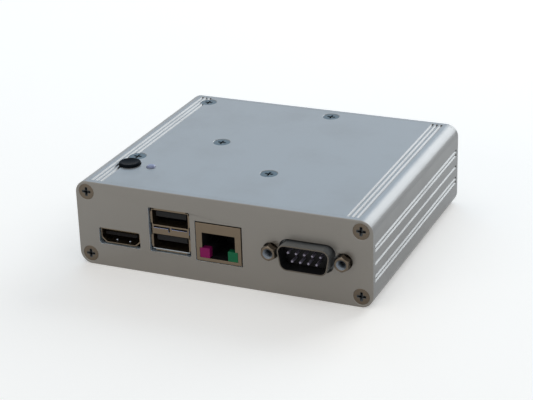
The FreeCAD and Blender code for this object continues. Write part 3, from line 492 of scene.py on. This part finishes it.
def start_group(name, setting, value):
    """New shader group with a place to read coordinates from, and one setting."""
    group = bpy.data.node_groups.new(name, "ShaderNodeTree")
    group.interface.new_socket("Place", in_out="INPUT", socket_type="NodeSocketVector")
    socket = group.interface.new_socket(setting, in_out="INPUT", socket_type="NodeSocketFloat")
    socket.default_value = value
    start = group.nodes.new("NodeGroupInput")
    return group, start.outputs["Place"], start.outputs[setting]


def end_group(group, **outputs):
    """Gives the group its outputs."""
    for label in outputs:
        group.interface.new_socket(label, in_out="OUTPUT", socket_type="NodeSocketFloat")
    feed(group, group.nodes.new("NodeGroupOutput"), outputs)
    return group


def drawn_lines():
    """Fine lines along Y, as an extrusion die or a brush leaves them."""
    group, place, fineness = start_group("drawn_lines", "Fineness", 2500.0)
    place = stretched(group, place, (1.0, 0.012, 1.0))
    fine = noise_on(group, place, fineness, 4.0, 0.6)
    broad = noise_on(group, place, combine(group, "MULTIPLY", fineness, 0.12), 2.0)
    return end_group(group, Tone=weighted(group, fine, broad, 0.6), Height=fine)


def blasted_grain():
    """Fine even grain, as bead blasting and anodising leave it."""
    group, place, fineness = start_group("blasted_grain", "Fineness", 6000.0)
    fine = noise_on(group, place, fineness, 3.0, 0.6)
    clouds = noise_on(group, place, 60.0, 3.0)
    return end_group(group, Tone=weighted(group, fine, clouds, 0.5), Height=fine)


def handling_marks():
    """Faint smudges from handling."""
    group, place, amount = start_group("handling_marks", "Amount", 0.5)
    smudge = combine(group, "SUBTRACT", noise_on(group, place, 45.0, 5.0, 0.65), 0.45, clamp=True)
    return end_group(group, Smudge=combine(group, "MULTIPLY", smudge, amount))


def board_tracks():
    """Copper tracks under lacquer: cells of a grid whose walls run in straight lines, and round pads."""
    group, place, pitch = start_group("board_tracks", "Pitch", 900.0)
    cells = group.nodes.new("ShaderNodeTexVoronoi")
    cells.distance = "CHEBYCHEV"
    feed(group, cells, {"Vector": stretched(group, place, (1.0, 0.35, 1.0)), "Scale": pitch})
    pads = group.nodes.new("ShaderNodeTexVoronoi")
    half = combine(group, "MULTIPLY", pitch, 0.5)
    feed(group, pads, {"Vector": place, "Scale": half, "Randomness": 0.6})
    return end_group(group, Track=combine(group, "GREATER_THAN", cells.outputs["Distance"], 0.42),
                     Pad=combine(group, "LESS_THAN", pads.outputs["Distance"], 0.16))


def use_group(tree, make, place, **values):
    """A node of one of the shader groups, which is built at its first use."""
    node = tree.nodes.new("ShaderNodeGroup")
    node.node_tree = bpy.data.node_groups.get(make.__name__) or make()
    return feed(tree, node, {"Place": place, **values})


# Materials

def start_material(name):
    """Material with an empty Principled shader and object coordinates."""
    material = bpy.data.materials.new(name)
    material.use_nodes = True
    tree = material.node_tree
    place = tree.nodes.new("ShaderNodeTexCoord").outputs["Object"]
    return material, tree, tree.nodes["Principled BSDF"], place


def two_tones(tree, color, spread, tone):
    """Colour between a darker and a lighter tone of the given one."""
    dark = [part * (1 - spread) for part in color]
    light = [min(part * (1 + spread), 1) for part in color]
    return mixed(tree, tone, (*dark, 1), (*light, 1))


def spread_value(tree, tone, low, high):
    """Tone from 0 to 1 spread over a range."""
    span = tree.nodes.new("ShaderNodeMapRange")
    return feed(tree, span, {"Value": tone, "To Min": low, "To Max": high}).outputs["Result"]


def bumped(tree, height, strength, depth):
    """Normals of a bump of the given depth in metres."""
    bump = tree.nodes.new("ShaderNodeBump")
    return feed(tree, bump, {"Height": height, "Strength": strength, "Distance": depth}).outputs["Normal"]


def metal(name, color, roughness, metallic=1.0, spread=0.06, lines=False, fineness=6000.0,
          depth=0.000004, marks=0.0):
    """Metal with fine lines or an even grain, and faint marks of handling."""
    uneven, strength = 0.06, 0.3
    material, tree, shader, place = start_material(name)
    grain = use_group(tree, drawn_lines if lines else blasted_grain, place, Fineness=fineness).outputs
    rough = spread_value(tree, grain["Tone"], roughness - uneven, roughness + uneven)
    if marks:
        touched = use_group(tree, handling_marks, place, Amount=marks)
        rough = combine(tree, "ADD", rough, touched.outputs["Smudge"])
    feed(tree, shader, {
        "Base Color": two_tones(tree, color, spread, grain["Tone"]),
        "Metallic": metallic,
        "Roughness": rough,
        "Normal": bumped(tree, grain["Height"], strength, depth),
    })
    return material


def plastic(name, color, roughness, spread=0.12, fineness=3500.0, depth=0.00001, gloss=0.5):
    """Moulded plastic with a fine texture and slightly uneven gloss."""
    uneven, strength = 0.08, 0.4
    material, tree, shader, place = start_material(name)
    grain = use_group(tree, blasted_grain, place, Fineness=fineness).outputs
    feed(tree, shader, {
        "Base Color": two_tones(tree, color, spread, grain["Tone"]),
        "Roughness": spread_value(tree, grain["Tone"], roughness - uneven, roughness + uneven),
        "Specular IOR Level": gloss,
        "Normal": bumped(tree, grain["Height"], strength, depth),
    })
    return material


def lacquered_board(name):
    """Green lacquer over copper tracks and tinned pads."""
    material, tree, shader, place = start_material(name)
    tone = use_group(tree, blasted_grain, place, Fineness=2500.0).outputs["Tone"]
    tracks = use_group(tree, board_tracks, place, Pitch=700.0).outputs
    lacquer = two_tones(tree, (0.012, 0.085, 0.035), 0.15, tone)
    over = mixed(tree, tracks["Track"], lacquer, (0.03, 0.16, 0.06, 1))
    feed(tree, shader, {
        "Base Color": mixed(tree, tracks["Pad"], over, (0.45, 0.44, 0.40, 1)),
        "Metallic": tracks["Pad"],
        "Roughness": spread_value(tree, tone, 0.25, 0.4),
        "Normal": bumped(tree, tracks["Track"], 0.3, 0.00003),
    })
    return material


def clear_plastic(name):
    """Clear moulded light guide."""
    material, tree, shader, place = start_material(name)
    tone = use_group(tree, blasted_grain, place, Fineness=1500.0).outputs["Tone"]
    feed(tree, shader, {
        "Base Color": two_tones(tree, (0.285, 0.335, 0.54), 0.05, tone),
        "Roughness": spread_value(tree, tone, 0.12, 0.2),
        "IOR": 1.49,
        "Transmission Weight": 0.2,
    })
    return material


def within(material, **ranges):
    """Mask that is 1 where each named object coordinate lies between two values in millimetres."""
    tree = material.node_tree
    split = tree.nodes.new("ShaderNodeSeparateXYZ")
    feed(tree, split, {"Vector": tree.nodes["Texture Coordinate"].outputs["Object"]})
    mask = None
    for axis, (low, high) in ranges.items():
        for operation, limit in (("GREATER_THAN", low), ("LESS_THAN", high)):
            side = combine(tree, operation, split.outputs[axis], limit * MM)
            mask = side if mask is None else combine(tree, "MULTIPLY", mask, side)
    return mask


def tinted(material, mask, color):
    """Gives the base colour another tone where the mask, an output or the name of a face attribute, is 1."""
    tree = material.node_tree
    if isinstance(mask, str):
        mark = tree.nodes.new("ShaderNodeAttribute")
        mark.attribute_name = mask
        mask = mark.outputs["Fac"]
    base = tree.nodes["Principled BSDF"].inputs["Base Color"]
    tree.links.new(mixed(tree, mask, base.links[0].from_socket, (*color, 1)), base)


def shared(name, make, *values, **settings):
    """A material that several pieces share, made at its first use."""
    return bpy.data.materials.get(name) or make(name, *values, **settings)


def shell_finish(look, name="plated sheet"):
    """Nickel plated sheet of the socket shells."""
    return shared(name, metal, look.shell_color, 0.3, metallic=0.9, spread=0.08, fineness=3000.0,
                  depth=0.000006)


def black_finish():
    """Black moulded plastic of the sockets."""
    return shared("black moulding", plastic, (0.008, 0.008, 0.009), 0.5, gloss=0.2)


def gold_finish():
    """Plated contacts."""
    return shared("plated contact", metal, (0.75, 0.55, 0.22), 0.22, spread=0.05)


# Operators

class PLAYER_OT_case(bpy.types.Operator):
    """Dress the profile and the two end plates"""
    bl_idname = "player.case"
    bl_label = "Case"

    def execute(self, context):
        look = context.scene.case_look
        profile = metal("profile anodised", look.profile_color, 0.33, metallic=0.75, spread=0.05,
                        lines=True, fineness=2600.0, marks=0.25)
        plate = metal("plate anodised", look.plate_color, 0.36, metallic=0.75, spread=0.05,
                      fineness=7000.0, marks=0.2)
        tinted(plate, "outer_rim", look.profile_color)
        # Pale blue on the walls of the socket openings: a painted reflection of the sky above.
        tinted(plate, "cut_wall_painted_sky", (0.72, 0.84, 0.95))
        dressed("case_profile", "profile_with_soft_edges", profile, look.edge * 0.6)
        for node in ("front_plate", "rear_plate"):
            piece = dressed(node, node + "_with_soft_edges", plate, look.edge)
            self.mark_walls(piece.data, node)
        return {"FINISHED"}

    def mark_walls(self, mesh, node):
        """Marks the faces that look along the plate: those at its outline, and the walls of the openings for
        the flush sockets that don't face down, which carry a painted reflection of the sky. The screw holes
        in the corners are left out."""
        margin, hole_reach = 1.5, 3.4
        centres, normals = faces_of(mesh)
        high = node_box(node)[1]
        along = np.abs(normals[:, 1]) < 0.5
        for x, _, z in corner_places(*node_box("front_plate_screws"), PLATE_HEAD_RADIUS, 1, 0):
            along &= np.hypot(centres[:, 0] - x, centres[:, 2] - z) > hole_reach
        inside = np.abs(centres[:, 0]) < high[0] - margin
        inside &= np.abs(centres[:, 2] - high[2] / 2) < high[2] / 2 - margin
        flush = centres[:, 0] < node_box("serial_jackscrews")[0][0]
        # Walls that don't face down get the painted sky reflection.
        mark_faces(mesh, "cut_wall_painted_sky", inside & along & flush & (normals[:, 2] > -0.3))
        mark_faces(mesh, "outer_rim", along & ~inside)


class PLAYER_OT_screws(bpy.types.Operator):
    """Turn the screws of the case and of the main board"""
    bl_idname = "player.screws"
    bl_label = "Screws"

    def execute(self, context):
        look = context.scene.case_look
        nickel = metal("nickel plated screw", look.screw_color, 0.28, spread=0.08, fineness=4000.0)
        zinc = metal("zinc plated screw", look.top_screw_color, 0.3, spread=0.08, fineness=4000.0)
        # The cross recesses are painted darker: painted shade where little light reaches into them.
        tinted(nickel, "recess", (0.048, 0.052, 0.056))
        tinted(zinc, "recess", (0.022, 0.03, 0.036))
        for node, finish, slot, direction, head_radius in (
            ("front_plate_screws", nickel, "screw_steel", FRONT, PLATE_HEAD_RADIUS),
            ("rear_plate_screws", nickel, "screw_steel", REAR, PLATE_HEAD_RADIUS),
            ("board_top_screws", zinc, "zinc_steel", UP, TOP_HEAD_RADIUS),
            ("heat_block_screw", zinc, "zinc_steel", UP, TOP_HEAD_RADIUS),
        ):
            cone_end = (SHANK_RADIUS, SHANK_RADIUS - head_radius)
            self.turn(node, finish, slot, direction, head_radius, 0.12, [cone_end], 1.4 - head_radius)
        head_radius, head_height = 2.75, 1.9
        under_head = [(head_radius, -head_height), (SHANK_RADIUS, -head_height)]
        self.turn("board_screws", nickel, "screw_steel", DOWN, head_radius, 0.7, under_head, -1.95)
        return {"FINISHED"}

    def turn(self, node, finish, slot, direction, head_radius, rounding, under_head, shank_from):
        """Turned screws in place of a node. The faces near an axis, a little below the head's face, are
        marked as its recess, which the finish paints darker as painted shade."""
        shallowest, deepest = 0.03, 1.3
        low, high = node_box(node)
        direction = np.array(direction, float)
        axis = int(np.argmax(np.abs(direction)))
        face = high[axis] if direction.sum() > 0 else low[axis]
        places = corner_places(low, high, head_radius, axis, face)
        disc_radius = head_radius - rounding
        steps = 6 if rounding > 0.5 else 4
        rim = arc_points((disc_radius, -rounding), rounding, 80, 0, steps) + under_head
        surface = screw_surface(disc_radius, rim, shank_from, high[axis] - low[axis])
        screws = surface_piece(node + "_turned", copied(surface, places, direction), finish, [node])
        centres, _ = faces_of(screws.data)
        recess = np.zeros(len(centres), bool)
        for place in places:
            depth = (place - centres) @ direction
            off_axis = np.linalg.norm(centres - place + depth[:, None] * direction, axis=1)
            recess |= (off_axis < ARM_REACH) & (depth > shallowest) & (depth < deepest)
        mark_faces(screws.data, "recess", recess)


class PLAYER_OT_display_socket(bpy.types.Operator):
    """Dress the display socket"""
    bl_idname = "player.display_socket"
    bl_label = "Display socket"

    def execute(self, context):
        look = context.scene.socket_look
        dressed("video_socket_shell", "display_shell_folded", shell_finish(look),
                look.sheet_edge)
        tongue = plastic("tongue with painted rib shading", (0.002, 0.002, 0.0022), 0.5, gloss=0.05)
        self.ribbed(tongue, 0.5)
        dressed("video_socket_insulator", "display_tongue_moulded", tongue, 0.0001)
        finish_nodes(gold_finish(), "video_socket_contacts")
        self.spring_bumps()
        return {"FINISHED"}

    def ribbed(self, material, pitch):
        """Painted shading of faint upright ribs across X, lighter stripes on a flat face: the wave's scale is
        pi over ten pitches, here in millimetres.
        """
        tree = material.node_tree
        place = tree.nodes["Texture Coordinate"].outputs["Object"]
        wave = tree.nodes.new("ShaderNodeTexWave")
        wave.bands_direction = "X"
        feed(tree, wave, {"Vector": place, "Scale": math.pi / (10 * pitch * MM)})
        # Lighter stripes: painted highlights of ribs that the mesh doesn't have.
        tinted(material, wave.outputs["Fac"], (0.026, 0.024, 0.025))

    def spring_bumps(self):
        """Half balls on the shell's two springs, a sixth of its width to each side of the middle. Their
        lighter, bluer finish than the shell's is a painted glint.
        """
        low, high = node_box("video_socket_shell")
        middle, width = (low[0] + high[0]) / 2, high[0] - low[0]
        floor = node_box("video_socket_insulator")[0][2]
        radius, inwards, above = 0.42, 2.0, 0.12
        bump = turned([(0, 0), (radius, 0)] + arc_points((0, 0), radius, 0, 90, 8), 24)
        places = [(middle + side * width / 6, low[1] + inwards, floor + above) for side in (-1, 1)]
        # Lighter and bluer than the shell: a painted glint on the bumps.
        bright = metal("spring with painted glint", (0.34, 0.38, 0.45), 0.3, metallic=0.7)
        surface_piece("display_spring_bumps", copied(bump, places), bright, [],
                      body=body_of_node("video_socket_shell"))


class PLAYER_OT_host_sockets(bpy.types.Operator):
    """Dress the stacked pair of host sockets"""
    bl_idname = "player.host_sockets"
    bl_label = "Host sockets"

    def execute(self, context):
        look = context.scene.socket_look
        sheet = shell_finish(look, "plated host sheet")
        low, high = node_box("host_socket_shell")
        points = read_rows(frame["nodes"]["host_socket_shell"].data.vertices, "co") / MM
        bottom = float(points[points[:, 1] < low[1] + 0.1, 2].min())
        middle = (bottom + high[2]) / 2
        # A pale band at the mouth along the bottom lip: a painted highlight.
        lip_painted_highlight = within(sheet, Y=(low[1] - 1, low[1] + 0.4), Z=(bottom + 0.5, bottom + 0.85))
        tinted(sheet, lip_painted_highlight, (0.34, 0.37, 0.40))
        # Sky blue on the walls of the slits in the shell's front: a painted reflection of the sky.
        slit_walls_painted_sky = within(sheet, Y=(low[1] + 0.03, low[1] + 0.28), Z=(middle - 0.6, middle + 1.1))
        tinted(sheet, slit_walls_painted_sky, (0.42, 0.58, 1.0))
        dressed("host_socket_shell", "host_shell_folded", sheet, look.sheet_edge)
        dressed("host_socket_insulator", "host_tongues_moulded", black_finish(), 0.00012)
        finish_nodes(gold_finish(), "host_socket_contacts")
        return {"FINISHED"}


class PLAYER_OT_network_socket(bpy.types.Operator):
    """Dress the network socket and its two lights"""
    bl_idname = "player.network_socket"
    bl_label = "Network socket"

    def execute(self, context):
        look = context.scene.socket_look
        dressed("network_socket_shield", "network_shield_folded", shell_finish(look),
                look.sheet_edge)
        dressed("network_socket_housing", "network_housing_moulded", black_finish(), 0.0001)
        finish_nodes(gold_finish(), "network_socket_contacts")
        for node, color, slot in (
            ("network_light_left", look.left_light_color, "magenta_light"),
            ("network_light_right", look.right_light_color, "green_light"),
        ):
            glow = plastic(slot.replace("_", " "), color, 0.35, spread=0.15, fineness=2500.0,
                           depth=0.000006, gloss=0.15)
            dressed(node, node + "_moulded", glow, 0.00015, segments=3)
        return {"FINISHED"}


class PLAYER_OT_serial_connector(bpy.types.Operator):
    """Dress the nine-pin connector, its jackscrews and its ribbon"""
    bl_idname = "player.serial_connector"
    bl_label = "Serial connector"

    def execute(self, context):
        black = black_finish()
        nickel = metal("nickel plated jackscrew", context.scene.case_look.screw_color, 0.26, spread=0.08)
        self.drawn_shells()
        dressed("serial_insulator", "serial_block_moulded", black, 0.00008)
        self.pins()
        self.jackscrews(nickel)
        finish_nodes(nickel, "serial_nuts")
        finish_nodes(black, "serial_boot")
        finish_nodes(plastic("ribbon insulation", (0.22, 0.22, 0.24), 0.5), "serial_ribbon")
        finish_nodes(plastic("cream moulding", (0.68, 0.66, 0.58), 0.45), "serial_header", "serial_plug")
        return {"FINISHED"}

    def drawn_shells(self):
        """The two drawn shells. The front one has a browner rim and a dark inside, which is painted shade."""
        low, high = node_box("serial_shell")
        finish = metal("drawn shell", (0.18, 0.19, 0.195), 0.34, metallic=0.4, spread=0.08)
        tinted(finish, within(finish, Y=(low[1] - 1, low[1] + 0.12)), (0.12, 0.104, 0.084))
        # Nearly black inside the front shell: painted shade.
        tinted(finish, "inside", (0.02, 0.02, 0.022))
        front = dressed("serial_shell", "serial_shell_drawn", finish, 0.00014, segments=3)
        centres, normals = faces_of(front.data)
        inwards = ((low + high) / 2 - centres) * normals
        mark_faces(front.data, "inside", inwards[:, 0] + inwards[:, 2] > 1.0)
        dressed("serial_rear_shell", "serial_rear_shell_drawn", finish, 0.0001)

    def pins(self):
        """Five pins above and four below, 2.77 mm apart and 2.84 mm between the rows."""
        low, high = node_box("serial_pins")
        x, _, z = (low + high) / 2
        length = high[1] - low[1]
        radius, spacing, half_gap = 0.46, 2.77, 1.42
        profile = [(0, 0), (0.38, 0), (radius, 0.12), (radius, length - 0.42)]
        profile += arc_points((0.0, length - radius), radius, 4, 90, 7)
        places = [(x + (i - 2) * spacing, high[1], z + half_gap) for i in range(5)]
        places += [(x + (i - 1.5) * spacing, high[1], z - half_gap) for i in range(4)]
        surface_piece("serial_pins_turned", copied(turned(profile, 24), places, FRONT),
                      metal("plated pin", (0.30, 0.28, 0.36), 0.38, metallic=0.35, spread=0.1),
                      ["serial_pins"])

    def jackscrews(self, finish):
        """Two jackscrews, with a second, brighter and bluer finish in their bores, which is a painted
        reflection.
        """
        low, high = node_box("serial_jackscrews")
        bore_radius, bore_depth = 1.6, 3.4
        middle = (low[2] + high[2]) / 2
        places = [(x, low[1], middle) for x in (low[0] + HEX_CORNER, high[0] - HEX_CORNER)]
        surface = copied(jackscrew(high[1] - low[1]), places, FRONT)
        screws = surface_piece("jackscrews_turned", surface, finish, ["serial_jackscrews"],
                               degrees=28.0)
        # Brighter, bluer metal in the bores: a painted reflection.
        bright = metal("bore with painted reflection", (0.16, 0.185, 0.215), 0.3, metallic=0.6, spread=0.1)
        screws.data.materials.append(bright)
        centres, _ = faces_of(screws.data)
        off_axis = np.min([np.hypot(centres[:, 0] - x, centres[:, 2] - z) for x, _, z in places], axis=0)
        in_bore = (off_axis < bore_radius) & (centres[:, 1] < low[1] + bore_depth)
        screws.data.polygons.foreach_set("material_index", in_bore.astype(np.int32))


class PLAYER_OT_power_button(bpy.types.Operator):
    """Turn the power button, and dress the switch under it"""
    bl_idname = "player.power_button"
    bl_label = "Power button"

    def execute(self, context):
        self.cap(context.scene.button_look)
        finish_nodes(black_finish(), "switch_body", "switch_plunger")
        self.dome()
        return {"FINISHED"}

    def cap(self, look):
        """Round cap on its stem, with a collar, a rounded rim and a hollow in its top. The hollow deepens
        from its edge to the middle by one less the square of the share of its radius."""
        low, high = node_box("power_button")
        centre = (low + high) / 2
        bottom, top = low[2], high[2]
        stem_radius, cap_radius, flat = 2.0, 3.75, 0.15
        rim, dish = look.rim / MM, look.dish / MM
        inner = cap_radius - rim - flat
        profile = [(0, bottom), (stem_radius, bottom)]
        profile += collar_points(stem_radius, (high[0] - low[0]) / 2, cap_radius)
        profile += arc_points((cap_radius - rim, top - rim), rim, 0, 90, 8)
        profile += [(inner * share, top - dish * (1 - share * share)) for share in np.linspace(1, 0, 14)]
        gloss = plastic("glossy black cap", (0.008, 0.011, 0.015), 0.28, spread=0.2, fineness=2000.0,
                        depth=0.000003, gloss=0.008)
        surface_piece("power_button_cap", copied(turned(profile, look.segments), [(centre[0], centre[1], 0)]),
                      gloss, ["power_button"])

    def dome(self):
        """Spring under the plunger: from its foot to its flat crown it rises by half a wave of the cosine,
        and its inside follows one sheet thickness lower."""
        low, high = node_box("switch_dome")
        foot, crown, sheet = low[2], high[2], 0.15
        rim_radius, flat_radius = (high[0] - low[0]) / 2, 0.8
        share = np.linspace(0, 1, 10)
        rise = (1 - np.cos(np.pi * share)) / 2 * (crown - foot - sheet)
        outside = np.stack([rim_radius + (flat_radius - rim_radius) * share, foot + sheet + rise], axis=-1)
        inner_radius = rim_radius - sheet
        inside = np.stack([inner_radius + (flat_radius - inner_radius) * share, foot + rise], axis=-1)
        profile = [(0, crown - sheet), *inside[::-1], (rim_radius, foot), *outside, (0, crown)]
        place = ((low[0] + high[0]) / 2, (low[1] + high[1]) / 2, 0)
        spring = surface_piece("switch_dome_spring", copied(turned(profile, 48), [place]),
                               metal("spring steel", (0.62, 0.62, 0.60), 0.25), ["switch_dome"])
        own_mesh(spring)


class PLAYER_OT_indicator(bpy.types.Operator):
    """Turn the clear light guide beside the button"""
    bl_idname = "player.indicator"
    bl_label = "Indicator"

    def execute(self, context):
        """Its head is a quarter of an ellipse turned about Z."""
        look = context.scene.button_look
        low, high = node_box("indicator_lens")
        centre = (low + high) / 2
        radius, rise = 1.6, look.lens_rise / MM
        wall_top = node_box("case_profile")[1][2]
        angle = np.radians(np.linspace(0, 90, 14))
        profile = [(0, low[2]), (radius, low[2]), *collar_points(radius, (high[0] - low[0]) / 2, radius)]
        profile += zip(radius * np.cos(angle), wall_top + rise * np.sin(angle))
        guide = copied(turned(profile, look.segments), [(centre[0], centre[1], 0)])
        surface_piece("indicator_light_guide", guide, clear_plastic("clear light guide"),
                      ["indicator_lens"])
        finish_nodes(plastic("lamp", (0.75, 0.76, 0.72), 0.4), "indicator_lamp")
        return {"FINISHED"}


class PLAYER_OT_board(bpy.types.Operator):
    """Finish the main board and what stands on it"""
    bl_idname = "player.board"
    bl_label = "Main board"

    def execute(self, context):
        chip = plastic("chip moulding", (0.022, 0.022, 0.025), 0.45, depth=0.000015)
        powder = plastic("pressed powder", (0.07, 0.07, 0.075), 0.6, depth=0.00004)
        finish_nodes(lacquered_board("lacquered board"), "main_board")
        finish_nodes(metal("turned brass", (0.62, 0.48, 0.22), 0.28), "board_spacers")
        finish_nodes(chip, "processor", "memory_chips", "controller_chips", "storage_chip")
        finish_nodes(plastic("soft pad", (0.26, 0.30, 0.36), 0.7), "thermal_pad")
        finish_nodes(metal("milled block", (0.62, 0.63, 0.64), 0.32, lines=True), "heat_block")
        finish_nodes(powder, "supply_coils")
        finish_nodes(metal("drawn can", (0.66, 0.66, 0.68), 0.24), "supply_capacitors")
        return {"FINISHED"}


class PLAYER_OT_power_inlet(bpy.types.Operator):
    """Dress the power inlet at the rear"""
    bl_idname = "player.power_inlet"
    bl_label = "Power inlet"

    def execute(self, context):
        dressed("power_inlet_body", "inlet_body_moulded", black_finish(), 0.0002, segments=3)
        low, high = node_box("power_inlet_pin")
        x, _, z = (low + high) / 2
        length = high[1] - low[1]
        radius, tip = 1.0, 0.5
        profile = [(0, 0), (radius, 0), (radius, length - tip)]
        profile += arc_points((radius - tip, length - tip), tip, 10, 90, 6) + [(0, length)]
        surface_piece("inlet_pin_turned", copied(turned(profile, 40), [(x, low[1], z)], REAR),
                      metal("plated inlet pin", (0.62, 0.60, 0.62), 0.22), ["power_inlet_pin"])
        return {"FINISHED"}


class PLAYER_OT_stage(bpy.types.Operator):
    """Set the floor, the lamps, the surroundings and the camera"""
    bl_idname = "player.stage"
    bl_label = "Stage"

    def execute(self, context):
        look = context.scene.stage_look
        self.floor()
        self.surroundings(look.ambient)
        for name, place, width, height, power, color in (
            ("overhead_softbox", (-0.1, -0.1, 1.4), 1.4, 1.2, look.top_power, (0.86, 0.94, 1.0)),
            ("sky_softbox", (-0.52, 1.0, 0.78), 1.1, 0.8, look.sky_power, (0.43, 0.72, 1.0)),
            ("rear_softbox", (0.37, 1.12, 0.58), 0.9, 0.9, look.rear_power, (0.90, 0.96, 1.0)),
            ("front_fill", (-0.55, -1.2, 0.35), 0.9, 0.9, look.front_power, (1.0, 0.90, 0.76)),
        ):
            self.softbox(name, Vector(place), width, height, power, color)
        self.camera(look.lens)
        context.scene.view_settings.view_transform = "Standard"
        return {"FINISHED"}

    def softbox(self, name, place, width, height, power, color):
        """Rectangular lamp that faces the middle of the case."""
        lamp = bpy.data.lights.new(name, "AREA")
        lamp.shape = "RECTANGLE"
        lamp.size = width
        lamp.size_y = height
        lamp.energy = power
        lamp.color = color
        holder = linked(name, lamp)
        holder.location = place
        holder.rotation_euler = (Vector((0, 0, 0.015)) - place).to_track_quat("-Z", "Y").to_euler()

    def seen(self, tree):
        """Mask that is 1 for rays from the camera, directly, in a reflection or through clear plastic."""
        path = tree.nodes.new("ShaderNodeLightPath")
        direct = combine(tree, "ADD", path.outputs["Is Camera Ray"], path.outputs["Is Glossy Ray"])
        return combine(tree, "ADD", direct, path.outputs["Is Transmission Ray"], clamp=True)

    def surroundings(self, ambient):
        """World that is white to the camera and in reflections, and plain even light elsewhere."""
        world = bpy.data.worlds.new("studio surroundings")
        bpy.context.scene.world = world
        world.use_nodes = True
        tree = world.node_tree
        strength = spread_value(tree, self.seen(tree), ambient, 1.0)
        feed(tree, tree.nodes["Background"], {"Color": (1, 1, 1, 1), "Strength": strength})

    def floor(self):
        """Pale floor that keeps the object's shadow, and glows a little to the camera and in reflections."""
        half_width, below, glow = 3000.0, 0.02, 0.31
        line = np.linspace(-half_width, half_width, 9)
        x, y = np.meshgrid(line, line, indexing="ij")
        points = np.stack([x, y, np.full_like(x, -below)], axis=-1).reshape(-1, 3)
        mesh = mesh_from("pale_floor", [(points, grid_quads(np.arange(x.size).reshape(x.shape)))])
        if mesh.polygons[0].normal.z < 0:
            mesh.flip_normals()
        material, tree, shader, place = start_material("pale floor")
        tone = use_group(tree, blasted_grain, place, Fineness=900.0).outputs["Tone"]
        feed(tree, shader, {
            "Base Color": two_tones(tree, (0.96, 0.94, 0.91), 0.01, tone),
            "Roughness": 0.9,
            "Specular IOR Level": 0.0,
            "Emission Color": (1, 1, 1, 1),
            "Emission Strength": combine(tree, "MULTIPLY", self.seen(tree), glow),
        })
        mesh.materials.append(material)
        floor = linked("pale_floor", mesh)

    def camera(self, lens):
        """Camera at the photograph's angle, given by its own three directions and its place."""
        camera = bpy.data.cameras.new("camera")
        camera.lens = lens
        camera.sensor_width = 36
        camera.clip_start = 0.01
        camera.clip_end = 20
        right = Vector((0.91886833, 0.39343223, -0.02986764))
        down = Vector((0.12996511, -0.37327003, -0.9185742))
        ahead = Vector((-0.37254539, 0.84016699, -0.39411848))
        turn = Matrix((right, -down, -ahead)).transposed().to_4x4()
        holder = linked("camera", camera)
        holder.matrix_world = Matrix.Translation(Vector((203.875, -466.615, 230.321)) * MM) @ turn
        bpy.context.scene.camera = holder


OPERATORS = [
    PLAYER_OT_case,
    PLAYER_OT_screws,
    PLAYER_OT_display_socket,
    PLAYER_OT_host_sockets,
    PLAYER_OT_network_socket,
    PLAYER_OT_serial_connector,
    PLAYER_OT_power_button,
    PLAYER_OT_indicator,
    PLAYER_OT_board,
    PLAYER_OT_power_inlet,
    PLAYER_OT_stage,
]


class PLAYER_PT_steps(bpy.types.Panel):
    """Steps that dress the player"""
    bl_idname = "PLAYER_PT_steps"
    bl_label = "Player"
    bl_space_type = "VIEW_3D"
    bl_region_type = "UI"
    bl_category = "Player"

    def draw(self, context):
        for name in LOOKS:
            box = self.layout.box()
            look = getattr(context.scene, name)
            for key in look.__annotations__:
                box.prop(look, key)
        for operator in OPERATORS:
            self.layout.operator(operator.bl_idname)


def register():
    for cls in [*LOOKS.values(), *OPERATORS, PLAYER_PT_steps]:
        bpy.utils.register_class(cls)
    for name, cls in LOOKS.items():
        setattr(bpy.types.Scene, name, PointerProperty(type=cls))


def unregister():
    for name in LOOKS:
        delattr(bpy.types.Scene, name)
    for cls in reversed([*LOOKS.values(), *OPERATORS, PLAYER_PT_steps]):
        bpy.utils.unregister_class(cls)


def main():
    """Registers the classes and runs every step."""
    register()
    for operator in OPERATORS:
        group, name = operator.bl_idname.split(".")
        getattr(getattr(bpy.ops, group), name)()


if __name__ == "__main__":
    main()
